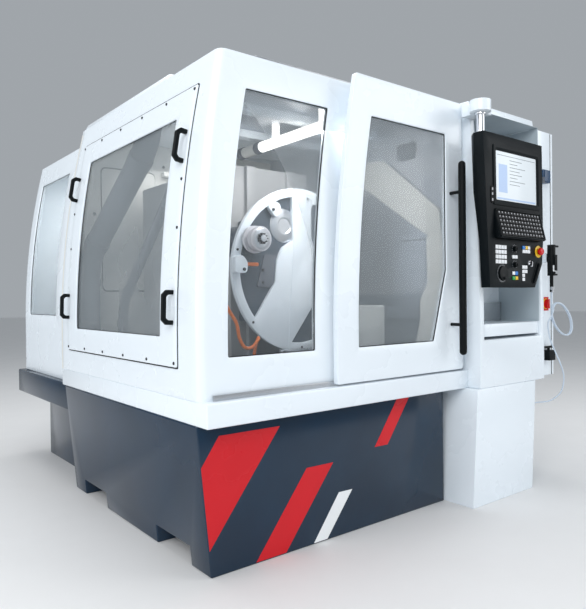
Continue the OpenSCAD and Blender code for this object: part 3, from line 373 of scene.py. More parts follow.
class Bench:
    """Turns surfaces into dressed pieces and keeps what every piece needs."""

    def __init__(self, frame: dict) -> None:
        """Keeps the loaded frame."""
        self.nodes: dict[str, bpy.types.Object] = frame["nodes"]
        self.slots = {s["node"]: s["material_slot"] for s in frame["record"]["subparts"]}
        self.node_body = {n: b for b, ns in frame["record"]["behaviour"]["bodies"].items() for n in ns}

    def low(self, node: str) -> np.ndarray:
        """Lowest corner of a node."""
        return np.array(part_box(node)[0])

    def high(self, node: str) -> np.ndarray:
        """Highest corner of a node."""
        return np.array(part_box(node)[1])

    def middle(self, node: str) -> np.ndarray:
        """Middle of a node's box."""
        return (self.low(node) + self.high(node)) / 2

    def add(
        self,
        name: str,
        shape: Shape | bpy.types.Mesh,
        body: Body,
        material: bpy.types.Material,
        slot: str,
        replaces: Sequence[str] = (),
        wall: float = 0.0,
        bevel: Edge = Edge.NONE,
        segments: int = 3,
    ) -> bpy.types.Object:
        """Makes a piece, finishes its edges and lets it ride on a body.

        Args:
            name: Name of the piece.
            shape: Its surface, or a mesh that is ready.
            body: Body that it rides on.
            material: Its finish.
            slot: Material slot of the record; not used.
            replaces: Nodes that it stands for.
            wall: Thickness given to an open sheet, away from its normals.
            bevel: Width of the rounded edges.
            segments: Steps across a rounded edge.

        Returns:
            The piece's object.
        """
        mesh = shape.mesh(name, not wall) if isinstance(shape, Shape) else shape
        raw = bpy.data.objects.new(name + "_raw", mesh)
        bpy.context.scene.collection.objects.link(raw)
        if wall:
            solid = raw.modifiers.new("wall", "SOLIDIFY")
            solid.thickness = wall
            solid.offset = -1
            solid.use_even_offset = True
        if bevel:
            edge = raw.modifiers.new("edges", "BEVEL")
            edge.width = bevel
            edge.segments = segments
            edge.limit_method = "ANGLE"
            edge.angle_limit = SMOOTH_ANGLE
        graph = bpy.context.evaluated_depsgraph_get()
        done = bpy.data.meshes.new_from_object(raw.evaluated_get(graph))
        bpy.data.objects.remove(raw)
        done.name = name
        done.shade_smooth()
        done.set_sharp_from_angle(angle=SMOOTH_ANGLE)
        done.materials.clear()
        done.materials.append(material)
        piece = bpy.data.objects.new(name, done)
        bpy.context.scene.collection.objects.link(piece)
        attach(piece, body.value)
        if replaces:
            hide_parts(*replaces)
        LOG.info("piece %s on %s, %d faces", name, body.value, len(done.polygons))
        return piece

    def soften(self, node: str, material: bpy.types.Material, bevel: Edge) -> None:
        """Stands a copy of a node in its place, with its flat faces joined and its edges rounded.

        Args:
            node: The node.
            material: Its finish.
            bevel: Width of the rounded edges.
        """
        work = bmesh.new()
        work.from_mesh(self.nodes[node].data)
        bmesh.ops.remove_doubles(work, verts=work.verts, dist=SAME_CORNER)
        bmesh.ops.dissolve_limit(work, angle_limit=FLAT_ANGLE, verts=work.verts, edges=work.edges)
        mesh = bpy.data.meshes.new(node)
        work.to_mesh(mesh)
        work.free()
        body = Body(self.node_body[node])
        self.add(node + "_skin", mesh, body, material, self.slots[node], [node], bevel=bevel)


# Finishes


class Tree:
    """A node tree that is built by naming nodes and what feeds their inputs."""

    def __init__(self, tree: bpy.types.NodeTree) -> None:
        """Keeps the tree."""
        self.tree = tree

    def node(self, kind: str, **inputs: object) -> bpy.types.Node:
        """Adds a node.

        Args:
            kind: Blender's name of the node type.
            inputs: Values or output sockets by input name, with underscores for spaces, or attributes.

        Returns:
            The node.
        """
        made = self.tree.nodes.new(kind)
        self.fill(made, **inputs)
        return made

    def fill(self, node: bpy.types.Node, **inputs: object) -> None:
        """Sets a node's inputs and attributes by name, as a new node's."""
        for name, value in inputs.items():
            label = name.replace("_", " ")
            if label in node.inputs:
                self.feed(node.inputs[label], value)
            else:
                setattr(node, name, value)

    def mix(self, *values: object) -> bpy.types.NodeSocket:
        """Mixes two colours by a factor, which is the first value, and returns the result's socket."""
        made = self.node("ShaderNodeMix", data_type="RGBA")
        for socket, value in zip(MIX_INPUTS, values):
            self.feed(made.inputs[socket], value)
        return made.outputs[MIX_OUTPUT]

    def span(self, value: bpy.types.NodeSocket, low: float, high: float) -> bpy.types.NodeSocket:
        """Spreads a value from 0 to 1 over a range and returns the result's socket."""
        return self.node("ShaderNodeMapRange", Value=value, To_Min=low, To_Max=high).outputs["Result"]

    def feed(self, socket: bpy.types.NodeSocket, value: object) -> None:
        """Links an output socket to an input, or sets the input's value."""
        if isinstance(value, bpy.types.NodeSocket):
            self.tree.links.new(value, socket)
        elif isinstance(value, tuple) and len(value) == 3 and socket.type == "RGBA":
            socket.default_value = (*value, 1.0)
        else:
            socket.default_value = value


def new_group(
    name: str, ins: dict[str, str], outs: dict[str, str]
) -> tuple[Tree, bpy.types.Node, bpy.types.Node]:
    """Starts a shader node group.

    Args:
        name: Name of the group.
        ins: Socket type of each input by name.
        outs: Socket type of each output by name.

    Returns:
        The tree, its input node and its output node.
    """
    tree = bpy.data.node_groups.new(name, "ShaderNodeTree")
    for label, kind in ins.items():
        tree.interface.new_socket(label, in_out="INPUT", socket_type="NodeSocket" + kind)
    for label, kind in outs.items():
        tree.interface.new_socket(label, in_out="OUTPUT", socket_type="NodeSocket" + kind)
    build = Tree(tree)
    return build, build.node("NodeGroupInput"), build.node("NodeGroupOutput")


def mottle_group() -> bpy.types.NodeTree:
    """A slow drift between two colours, with a mask and a fine height for the skin of a coating."""
    build, ins, outs = new_group(
        "drift_and_peel",
        {"Vector": "Vector", "Scale": "Float", "Peel": "Float", "First": "Color", "Second": "Color"},
        {"Color": "Color", "Mask": "Float", "Height": "Float"},
    )
    given = ins.outputs
    drift = build.node("ShaderNodeTexNoise", Vector=given["Vector"], Scale=given["Scale"], Detail=4.0)
    mask = build.node("ShaderNodeMapRange", Value=drift.outputs["Fac"], From_Min=0.35, From_Max=0.65)
    colour = build.mix(mask.outputs["Result"], given["First"], given["Second"])
    peel = build.node("ShaderNodeTexNoise", Vector=given["Vector"], Scale=given["Peel"], Detail=2.0)
    build.fill(outs, Color=colour, Mask=mask.outputs["Result"], Height=peel.outputs["Fac"])
    return build.tree


def brushed_group() -> bpy.types.NodeTree:
    """Fine lines along one direction: noise that is stretched by a scale for each axis."""
    build, ins, outs = new_group(
        "brushed_lines", {"Vector": "Vector", "Stretch": "Vector"}, {"Mask": "Float", "Height": "Float"}
    )
    scaled = build.node("ShaderNodeVectorMath", operation="MULTIPLY")
    build.feed(scaled.inputs[0], ins.outputs["Vector"])
    build.feed(scaled.inputs[1], ins.outputs["Stretch"])
    lines = build.node("ShaderNodeTexNoise", Vector=scaled.outputs["Vector"], Scale=1.0, Detail=6.0)
    mask = build.node("ShaderNodeMapRange", Value=lines.outputs["Fac"], From_Min=0.3, From_Max=0.7)
    build.fill(outs, Mask=mask.outputs["Result"], Height=lines.outputs["Fac"])
    return build.tree


class Groups:
    """The shared shader node groups, each built once."""

    def __init__(self) -> None:
        """Builds the groups."""
        self.mottle = mottle_group()
        self.brushed = brushed_group()


def darker(colour: Colour, share: float) -> Colour:
    """A colour that is darker by a share."""
    return tuple(c * (1 - share) for c in colour)


def start_material(name: str) -> tuple[bpy.types.Material, Tree, bpy.types.Node, bpy.types.NodeSocket]:
    """Starts a material with a Principled shader and Object coordinates.

    Args:
        name: Name of the material.

    Returns:
        The material, its tree, the shader and the coordinate socket.
    """
    material = bpy.data.materials.new(name)
    material.use_nodes = True
    build = Tree(material.node_tree)
    shader = material.node_tree.nodes["Principled BSDF"]
    return material, build, shader, build.node("ShaderNodeTexCoord").outputs["Object"]


@dataclass(frozen=True)
class Coating:
    """A paint or plastic: colour that drifts a little, a roughness range and a fine skin.

    Args:
        name: Name of the finish.
        colour: Main colour.
        drift: Share by which the second colour is darker.
        rough: Least and greatest roughness.
        coat: Weight of a clear coat.
        peel: Fine bumps per metre.
        bump: Height of the bumps in metres.
        scale: Drift patches per metre.
        shine: How much of the room it mirrors, where half is common plastic.
        glow: Strength of its own light.
    """

    name: str
    colour: Colour
    drift: float = 0.06
    rough: Span = (0.25, 0.36)
    coat: float = 0.0
    peel: float = 700.0
    bump: float = 0.00004
    scale: float = 3.0
    shine: float = 0.5
    glow: float = 0.0

    def material(self, groups: Groups) -> bpy.types.Material:
        """Builds the finish.

        Args:
            groups: The shared node groups.

        Returns:
            The material.
        """
        made, build, shader, place = start_material(self.name)
        skin = build.node(
            "ShaderNodeGroup", node_tree=groups.mottle, Vector=place, Scale=self.scale, Peel=self.peel,
            First=self.colour, Second=darker(self.colour, self.drift),
        ).outputs
        bump = build.node("ShaderNodeBump", Height=skin["Height"], Distance=self.bump, Strength=1.0)
        build.fill(
            shader, Base_Color=skin["Color"], Roughness=build.span(skin["Mask"], *self.rough),
            Normal=bump.outputs["Normal"], Specular_IOR_Level=self.shine, Coat_Weight=self.coat,
        )
        if self.glow:
            build.fill(shader, Emission_Color=skin["Color"], Emission_Strength=self.glow)
        return made


@dataclass(frozen=True)
class Brushed:
    """A ground or brushed metal with lines along one axis.

    Args:
        name: Name of the finish.
        colour: Colour of the metal.
        stretch: Lines per metre along each axis.
        rough: Least and greatest roughness.
        bump: Depth of the lines in metres.
        dark_share: Share by which the lines are darker.
    """

    name: str
    colour: Colour
    stretch: Point = (8.0, 900.0, 900.0)
    rough: Span = (0.22, 0.42)
    bump: float = 0.00003
    dark_share: float = 0.14

    def material(self, groups: Groups) -> bpy.types.Material:
        """Builds the finish.

        Args:
            groups: The shared node groups.

        Returns:
            The material.
        """
        made, build, shader, place = start_material(self.name)
        lines = build.node(
            "ShaderNodeGroup", node_tree=groups.brushed, Vector=place, Stretch=self.stretch
        ).outputs
        tone = build.mix(lines["Mask"], self.colour, darker(self.colour, self.dark_share))
        bump = build.node("ShaderNodeBump", Height=lines["Height"], Distance=self.bump, Strength=1.0)
        build.fill(
            shader, Base_Color=tone, Roughness=build.span(lines["Mask"], *self.rough),
            Normal=bump.outputs["Normal"], Metallic=1.0,
        )
        return made


@dataclass(frozen=True)
class Pane:
    """A clear sheet that shows more of itself at a grazing angle.

    Args:
        name: Name of the finish.
        colour: Tint.
        clear: Opacity seen face on.
        edge: Opacity seen edge on.
        drift: Share by which the second tint is darker.
    """

    name: str
    colour: Colour
    clear: float
    edge: float
    drift: float = 0.1

    def material(self, groups: Groups) -> bpy.types.Material:
        """Builds the finish.

        Args:
            groups: The shared node groups.

        Returns:
            The material.
        """
        made, build, shader, place = start_material(self.name)
        film = build.node(
            "ShaderNodeGroup", node_tree=groups.mottle, Vector=place, Scale=2.0, Peel=5.0,
            First=self.colour, Second=darker(self.colour, self.drift),
        ).outputs
        facing = build.node("ShaderNodeLayerWeight", Blend=0.35).outputs["Fresnel"]
        build.fill(
            shader, Base_Color=film["Color"], Alpha=build.span(facing, self.clear, self.edge), Roughness=0.04
        )
        return made


class Finishes:
    """Every finish on the machine, built once."""

    def __init__(self) -> None:
        """Builds the materials."""
        self.groups = Groups()

        def coat(name: str, colour: Colour, *rest: object, **more: float) -> bpy.types.Material:
            """Builds a coating."""
            return Coating(name, colour, *rest, **more).material(self.groups)

        def metal(name: str, colour: Colour, *rest: object) -> bpy.types.Material:
            """Builds a brushed metal."""
            return Brushed(name, colour, *rest).material(self.groups)

        self.white = coat("white_gloss_paint", (0.8, 0.87, 0.93), 0.015, (0.24, 0.3), coat=0.15)
        self.inner = coat("inner_cream_paint", (0.74, 0.74, 0.7), 0.06, (0.3, 0.45))
        self.cover = coat("cover_grey_paint", (0.4, 0.41, 0.42), 0.08, (0.35, 0.5))
        # Blue-grey painted shade for the alcove's right side and ceiling, which are really the column's
        # white.
        self.alcove = coat("alcove_painted_shade", (0.5, 0.58, 0.63), 0.05, (0.35, 0.45))
        self.navy = coat(
            "navy_gloss_paint", (0.007, 0.026, 0.055), 0.2, (0.08, 0.16),
            peel=300.0, bump=0.00005, scale=4.0, shine=0.42,
        )
        self.red_stripe = coat("red_stripe_film", (0.62, 0.012, 0.02), 0.08, (0.2, 0.3), shine=0.25)
        self.white_stripe = coat("white_stripe_film", (0.85, 0.88, 0.9), 0.04, (0.2, 0.3), shine=0.3)
        self.black = coat(
            "black_grained_plastic", (0.003, 0.005, 0.006), 0.3, (0.4, 0.55),
            peel=1600.0, bump=0.00006, shine=0.15,
        )
        self.seal = coat("black_rubber_seal", (0.01, 0.011, 0.012), 0.3, (0.55, 0.7), shine=0.2)
        self.housing = coat(
            "panel_black_enamel", (0.003, 0.006, 0.008), 0.25, (0.4, 0.52),
            peel=1200.0, bump=0.00005, shine=0.14,
        )
        self.keys = coat("dark_key_caps", (0.012, 0.013, 0.016), 0.3, (0.35, 0.5), shine=0.3)
        self.legend = coat("key_legend_print", (0.5, 0.52, 0.55), 0.1, (0.4, 0.5))
        self.pale_keys = coat("pale_key_caps", (0.8, 0.83, 0.86), 0.05, (0.3, 0.45))
        self.red = coat("signal_red_plastic", (0.6, 0.01, 0.012), 0.1, (0.18, 0.28), shine=0.4)
        self.yellow = coat("signal_yellow_plastic", (0.8, 0.5, 0.015), 0.08, (0.25, 0.35))
        self.green = coat("green_key_caps", (0.03, 0.34, 0.08), 0.08, (0.25, 0.35))
        self.blue = coat("blue_key_caps", (0.03, 0.2, 0.6), 0.08, (0.25, 0.35))
        self.socket_blue = coat("socket_blue_plastic", (0.01, 0.05, 0.12), 0.1, (0.3, 0.4))
        self.orange = coat("orange_plastic", (0.85, 0.19, 0.02), 0.1, (0.3, 0.45))
        self.duct = coat("duct_grey_plastic", (0.13, 0.145, 0.17), 0.15, (0.45, 0.6), peel=400.0, shine=0.3)
        self.slate = coat("slate_machine_paint", (0.06, 0.08, 0.105), 0.18, (0.35, 0.5), shine=0.3)
        self.cast = coat("cast_bed_paint", (0.12, 0.14, 0.15), 0.2, (0.4, 0.55), peel=260.0, bump=0.0002)
        self.hose = coat("pale_hose_skin", (0.55, 0.64, 0.74), 0.06, (0.25, 0.35))
        self.lamp = coat("lamp_diffuser", (1.0, 0.98, 0.92), 0.02, (0.3, 0.4), glow=3.0)
        self.steel = metal("ground_steel", (0.55, 0.57, 0.6))
        self.sheet = metal("brushed_sheet", (0.5, 0.53, 0.58), (500.0, 500.0, 6.0), (0.34, 0.5))
        self.dark_steel = metal("black_oxide_steel", (0.06, 0.06, 0.065))
        self.chrome = metal("polished_chrome", (0.78, 0.79, 0.82), (900.0, 900.0, 4.0), (0.05, 0.12))
        self.alloy = metal("turned_alloy", (0.62, 0.64, 0.67), (700.0, 30.0, 700.0), (0.28, 0.42))
        self.abrasive = coat("pale_abrasive", (0.62, 0.62, 0.66), 0.12, (0.6, 0.8), peel=2500.0, bump=0.0002)
        self.screen = coat("lit_display", (0.72, 0.78, 0.82), 0.03, (0.1, 0.14), shine=0.2, glow=0.12)
        self.display_blue = coat(
            "display_side_bar", (0.42, 0.55, 0.78), 0.05, (0.1, 0.14), shine=0.2, glow=0.12
        )
        self.glass = Pane("clear_window", (0.42, 0.47, 0.5), 0.05, 0.5).material(self.groups)
        self.clear = Pane("alcove_pane", (0.55, 0.6, 0.64), 0.15, 0.5).material(self.groups)


# Studio


@dataclass
class Studio:
    """Camera, floor and lights.

    Args:
        eye: Place of the camera.
        heading: Turn of the view from +Y towards +X, in degrees.
        pitch: Tilt of the view, in degrees.
        roll: Turn about the view, in degrees.
        far: Distance at which the view ends.
        floor_r: Radius of the floor.
        room: Colour of the room.
        room_light: Strength of the room's light.
        lamps: Name, place, aim, width and power of each light.
    """

    eye: Point = (-1.8427, -2.7275, 1.0515)
    heading: float = 38.307
    pitch: float = -0.6136
    roll: float = -0.658
    far: float = 200.0
    floor_r: float = 40.0
    room: Colour = (0.84, 0.9, 0.96)
    room_light: float = 0.42
    lamps: Sequence[tuple[str, Point, Point, float, float]] = (
        ("key", (-4.8, -4.6, 4.4), (0.3, 0.0, 1.0), 4.0, 300.0),
        ("fill", (4.5, -5.0, 3.0), (0.6, 0.0, 1.0), 4.0, 115.0),
        ("side", (-6.0, 1.5, 2.5), (-0.5, 0.5, 1.0), 4.0, 85.0),
        ("top", (0.5, 1.0, 6.0), (0.3, 0.0, 1.0), 5.0, 200.0),
        ("chamber", (0.05, -0.58, 1.84), (0.1, -0.28, 1.1), 0.35, 5.5),
        ("chamber_back", (-0.1, 0.5, 1.86), (0.0, 0.5, 0.9), 0.4, 2.0),
        ("rear", (0.0, 1.25, 1.85), (-0.1, 1.3, 0.9), 0.7, 11.0),
    )

    def camera(self) -> None:
        """Places the camera at the photograph's view."""
        data = bpy.data.cameras.new("view")
        data.sensor_fit = "HORIZONTAL"
        data.sensor_width = SENSOR_W
        data.lens = SENSOR_W * FOCAL_PX / IMAGE_W
        data.clip_end = self.far
        eye = bpy.data.objects.new("view", data)
        turn = (
            Matrix.Rotation(-math.radians(self.heading), 4, "Z")
            @ Matrix.Rotation(math.radians(90 + self.pitch), 4, "X")
            @ Matrix.Rotation(math.radians(self.roll), 4, "Z")
        )
        eye.matrix_world = Matrix.Translation(self.eye) @ turn
        bpy.context.scene.collection.objects.link(eye)
        bpy.context.scene.camera = eye

    def floor(self, groups: Groups) -> None:
        """Lays a pale round floor."""
        disc = lathe([(0.0, 0.0), (self.floor_r / 2, 0.0), (self.floor_r, 0.0)])
        mesh = disc.mesh("floor", False)
        mesh.materials.append(Coating("pale_floor", (0.8, 0.8, 0.8), 0.02, (0.5, 0.6)).material(groups))
        floor = bpy.data.objects.new("floor", mesh)
        bpy.context.scene.collection.objects.link(floor)

    def lamp(self, name: str, at: Sequence[float], aim: Sequence[float], size: float, power: float) -> None:
        """Hangs a square soft light.

        Args:
            name: Name of the light.
            at: Its place.
            aim: Point that it faces.
            size: Width of the light.
            power: Power in watts.
        """
        data = bpy.data.lights.new(name, "AREA")
        data.size = size
        data.energy = power
        light = bpy.data.objects.new(name, data)
        light.location = at
        light.rotation_euler = (Vector(aim) - Vector(at)).to_track_quat("-Z", "Y").to_euler()
        bpy.context.scene.collection.objects.link(light)

    def lights(self) -> None:
        """Lights the object evenly from the front left, and the chamber and the rear housing from inside."""
        world = bpy.data.worlds.new("pale_room")
        world.use_nodes = True
        room = world.node_tree.nodes["Background"]
        Tree(world.node_tree).fill(room, Color=self.room, Strength=self.room_light)
        bpy.context.scene.world = world
        for lamp in self.lamps:
            self.lamp(*lamp)


# Sub-assemblies


@dataclass
class Assembly:
    """A sub-assembly with sizes of its own, whose added pieces mostly ride on one body.

    Args:
        bench: Maker of pieces.
        paint: The finishes.
    """

    bench: Bench
    paint: Finishes
    body = Body.MACHINE

    def add(
        self,
        name: str,
        shape: Shape,
        finish: bpy.types.Material,
        slot: str,
        body: Body | None = None,
        **more: object,
    ) -> bpy.types.Object:
        """Adds a piece.

        Args:
            name: Name of the piece.
            shape: Its surface.
            finish: Its finish.
            slot: Material slot of the record.
            body: Body that it rides on, or nothing for the sub-assembly's own.
            more: Further settings of Bench.add.

        Returns:
            The piece's object.
        """
        return self.bench.add(name, shape, body or self.body, finish, slot, **more)

    def soften(self, finish: bpy.types.Material, edge: Edge, *nodes: str) -> None:
        """Stands copies of nodes in their places, with one finish and one width of rounded edge."""
        for node in nodes:
            self.bench.soften(node, finish, edge)


@dataclass
class AirLine(Assembly):
    """White air hose from the gun's foot through two turns to the gland in the pillar.

    Args:
        lead: Points from the gun's foot, from the pod's front left foot.
        tail: Points from the turns to the gland.
        centre: Middle of the turns.
        level: Level direction in the plane of a turn.
        normal: Direction square to the turns.
        across: Half width of a turn.
        high: Half height of a turn.
        skew: How far the top of a turn leans to the left.
        shift: How far the turns spread.
        start: Angle at which the turns start, in degrees.
        turn: Angle of the turns, in degrees.
        rings: Steps over the turns.
        diameter: Diameter of the hose.
        sides: Points round the hose.
    """

    lead: Outline = (
        (0.086, -0.072, 1.068), (0.086, -0.072, 1.04), (0.084, -0.073, 1.0), (0.081, -0.075, 0.955)
    )
    tail: Outline = (
        (0.045, -0.09, 0.925), (0.032, -0.079, 0.886), (0.043, -0.085, 0.803), (0.071, -0.098, 0.733),
        (0.097, -0.118, 0.655), (0.114, -0.126, 0.592), (0.107, -0.126, 0.538), (0.095, -0.112, 0.489),
        (0.068, -0.075, 0.45), (0.036, -0.045, 0.44), (-0.007, -0.031, 0.44), (-0.076, -0.03, 0.44),
    )
    centre: Point = (0.123, -0.104, 0.914)
    level: Point = (0.85, -0.53, 0.0)
    normal: Point = (0.53, 0.85, 0.0)
    across: float = 0.052
    high: float = 0.092
    skew: float = 0.028
    shift: float = 0.028
    start: float = 180.0
    turn: float = 690.0
    rings: int = 46
    diameter: float = 0.008
    sides: int = 14

    def route(self, origin: np.ndarray) -> np.ndarray:
        """The hose's middle line; a turn is (w cos a - k sin a) along a level line and h sin a upwards.

        Args:
            origin: The pod's front left foot.

        Returns:
            Points close together along the line.
        """
        i = np.arange(self.rings + 1)[:, None] / self.rings
        a = np.radians(self.start + self.turn * i)
        turns = (
            np.array(self.centre)
            + (self.across * np.cos(a) - self.skew * np.sin(a)) * np.array(self.level)
            + self.high * np.sin(a) * np.array([0.0, 0.0, 1.0])
            - self.shift * i * np.array(self.normal)
        )
        return smooth_path(np.concatenate([self.lead, turns, self.tail])) + origin

    def build(self) -> None:
        origin = np.array([self.bench.high("console_column")[0], self.bench.low("skirt_frame")[1], 0.0])
        path = self.route(origin)
        skin = tube(path, self.diameter / 2, self.sides)
        hose = self.add("air_hose_tube", skin, self.paint.hose, "hose_pale", replaces=["air_hose"])


@dataclass
class Walls:
    """Places on the chamber's leaning walls, taken from the frame.

    Args:
        bench: Maker of pieces.
        lean_z: Height above which the walls lean.
        side_lean: How far the left wall leans in at the roof.
        front_lean: How far the front panel leans back at the roof.
    """

    bench: Bench
    lean_z: float = 0.88
    side_lean: float = 0.14
    front_lean: float = 0.06

    def __post_init__(self) -> None:
        """Reads the main places from the frame."""
        self.left, self.foot_z = self.bench.low("skirt_frame")[0], self.bench.high("skirt_frame")[2]
        self.panel_y, self.roof_z = self.bench.low("front_panel")[1], self.bench.high("front_panel")[2]

    def share(self, z: np.ndarray) -> np.ndarray:
        """Share of the full lean at a height: the square of the height above the start of the lean."""
        return (np.maximum(z - self.lean_z, 0) / (self.roof_z - self.lean_z)) ** 2

    def on_side(self, loop: np.ndarray, out: float, start: float | None = None) -> np.ndarray:
        """Puts points of y, z and lean on the left wall.

        Args:
            loop: Array with columns y, z and the lean of y at the roof.
            out: Distance in front of the wall's outer face.
            start: Place of the wall's foot, or nothing for the chamber's own.

        Returns:
            The points.
        """
        y, z, top = np.moveaxis(loop, -1, 0)
        foot = self.left if start is None else start
        q = self.share(z)
        return np.stack([foot - out + self.side_lean * q, y + top * q, z], -1)

    def on_front(self, loop: np.ndarray, out: float) -> np.ndarray:
        """Puts points of x, z and lean on the front panel.

        Args:
            loop: Array with columns x, z and the lean of x at the roof.
            out: Distance in front of the panel's outer face.

        Returns:
            The points.
        """
        x, z, top = np.moveaxis(loop, -1, 0)
        q = self.share(z)
        return np.stack([x + top * q, self.panel_y - out + self.front_lean * q, z], -1)


def sheet_frame(outer: np.ndarray, inner: np.ndarray, place: Callable[[np.ndarray], np.ndarray]) -> Shape:
    """A sheet with one hole: loops go from the outer outline to the hole's in equal steps."""
    return grid(place(between(outer, inner)), close_cols=True)


def sheet_pane(outline: np.ndarray, place: Callable[[np.ndarray], np.ndarray]) -> Shape:
    """A sheet with no hole."""
    return grid(place(to_centre(outline)), close_cols=True)


def leaning_rect(first: Sequence[float], last: Sequence[float], lean: float = 0.0) -> list[Point]:
    """Corners of a rectangle from its first corner to the opposite one, each with its lean at the roof."""
    (a, b), (c, d) = first, last
    return [(a, b, lean), (c, b, lean), (c, d, lean), (a, d, lean)]


def grown(loop: np.ndarray, across: float, up: float) -> np.ndarray:
    """An outline whose points are pushed away from its middle by a step across and a step up."""
    return loop + np.sign(loop - loop.mean(0)) * np.array([across, up, 0])


@dataclass
class Enclosure(Assembly):
    """White chamber round the grinding space, its windows and the lift-off side panel.

    A pair is how far a sheet's face stands in front of the wall, and the sheet's thickness.

    Args:
        corner: Radius of the soft corner between the left wall and the front panel.
        corner_steps: Points across the soft corner.
        skin: Outer face and thickness of the leaning sheets.
        pane: Outer face and thickness of the front and rear panes.
        front_seal: The same of the front window's seal.
        rear_seal: The same of the rear window's seal.
        panel: The same of the side panel.
        panel_gap_shade: The same of the black sheet of painted shade round it, which stands in for the shaded
            gap.
        panel_pane: The same of its pane.
        panel_seal: The same of the seal of its window.
        seal: Width of a window's seal.
        gap_shade: Steps across and up of half the black band of painted shade round the side panel.
        crisp: Size of the rounds at the corners of the chamber's walls and of the rear wall.
        round_out: Size of the rounds at the corners of a window.
        panel_rounds: The same of the side panel, of its window and of the opening behind it.
        top_gap: Gap between the walls and the roof's top.
        window_lean: How far the front window's edges lean in at the roof.
        door_lean: How far the front panel's right edge leans in at the roof.
        rim: Width of the wall behind the side panel's edge.
        lap: Width of the side window behind its frame.
        rear_lap: How far the rear wall's sheet runs on at the back and the top.
    """

    corner: float = 0.032
    corner_steps: int = 13
    skin: Span = (0.001, 0.024)
    pane: Span = (-0.008, 0.008)
    front_seal: Span = (-0.004, 0.004)
    rear_seal: Span = (-0.005, 0.003)
    panel: Span = (0.0105, 0.009)
    panel_gap_shade: Span = (0.0045, 0.004)
    panel_pane: Span = (0.001, 0.007)
    panel_seal: Span = (0.004, 0.003)
    seal: float = 0.0032
    gap_shade: Span = (0.00075, 0.006)
    crisp: Span = (0.0005, 0.001)
    round_out: float = 0.009
    panel_rounds: tuple[float, float, float] = (0.008, 0.012, 0.01)
    top_gap: float = 0.0005
    window_lean: float = 0.165
    door_lean: float = 0.125
    rim: float = 0.03
    lap: float = 0.02
    rear_lap: float = 0.02

    def build(self) -> None:
        """Makes the walls, the side panel, the windows and the rear housing."""
        walls = Walls(self.bench)
        self.shell(walls)
        self.side_panel(walls)
        self.rear_wall(walls)
        white = self.paint.white
        self.soften(white, Edge.THIN, "roof_panel")
        self.soften(white, Edge.WIDE, "roof_cover")
        self.soften(white, Edge.FULL, "rear_roof", "rear_shell")
        self.soften(white, Edge.ROUND, "skirt_frame")
        self.soften(white, Edge.SOFT, "door_header")
        self.soften(white, Edge.ROUND, "door_post")
        self.soften(self.paint.inner, Edge.THIN, "right_wall", "bulkhead")
        self.soften(self.paint.steel, Edge.KEEN, "door_tracks")
        self.soften(self.paint.inner, Edge.ROUND, "loader_tower")

    def shell(self, walls: Walls) -> None:
        """Front panel, left wall and the corner r (1 - cos t), r (1 - sin t) as one sheet, and a window."""
        r, top, out = self.corner, walls.roof_z - self.top_gap, self.skin[0]
        right, back = self.bench.low("door_header")[0], self.bench.high("left_wall")[1]
        low, high = self.bench.low("front_window"), self.bench.high("front_window")
        shift = self.window_lean * float(walls.share(np.array(high[2])))
        x0, x1, z0, z1 = low[0], high[0] - shift, low[2], high[2]
        outer = rounded_loop(
            [(walls.left + r, walls.foot_z, walls.side_lean), (right, walls.foot_z, self.door_lean),
             (right, top, self.door_lean), (walls.left + r, top, walls.side_lean)], self.crisp[0])
        hole = rounded_loop(leaning_rect((x0, z0), (x1, z1), self.window_lean), self.round_out)
        front = sheet_frame(outer, hole, lambda p: walls.on_front(p, out))
        (y0, s0), (y1, s1) = (
            self.bench.low("service_panel")[1:] + self.rim, self.bench.high("service_panel")[1:] - self.rim
        )
        side_outer = rounded_loop(
            [(back, walls.foot_z, 0.0), (walls.panel_y + r, walls.foot_z, walls.front_lean),
             (walls.panel_y + r, top, walls.front_lean), (back, top, 0.0)], self.crisp[0])
        side_hole = rounded_loop(leaning_rect((y1, s0), (y0, s1)), self.panel_rounds[2])
        side = sheet_frame(side_outer, side_hole, lambda p: walls.on_side(p, out))
        z = np.unique(np.round(np.concatenate([side_outer[:, 1], outer[:, 1]]), 6))[:, None]
        t = np.linspace(0, math.pi / 2, self.corner_steps)[None, :]
        q = walls.share(z)
        strip = np.stack([
            walls.left - out + r * (1 - np.cos(t)) + walls.side_lean * q + out * np.sin(t),
            walls.panel_y + r * (1 - np.sin(t)) + walls.front_lean * q - out * np.sin(t),
            z + 0 * t,
        ], -1)
        self.add("chamber_shell", join([front, side, grid(strip)]), self.paint.white, "white_paint",
                 replaces=["front_panel", "left_wall"], wall=self.skin[1], bevel=Edge.SOFT)
        pane = sheet_pane(hole, lambda p: walls.on_front(p, self.pane[0]))
        self.add("front_window_pane", pane, self.paint.glass, "window",
                 replaces=["front_window"], wall=self.pane[1])
        shrink = np.array([2 * self.seal / (x1 - x0), 2 * self.seal / (z1 - z0), 0])
        inside = hole + (hole.mean(0) - hole) * shrink
        seal = sheet_frame(hole, inside, lambda p: walls.on_front(p, self.front_seal[0]))
        self.add("front_window_seal", seal, self.paint.seal, "black_plastic", wall=self.front_seal[1])

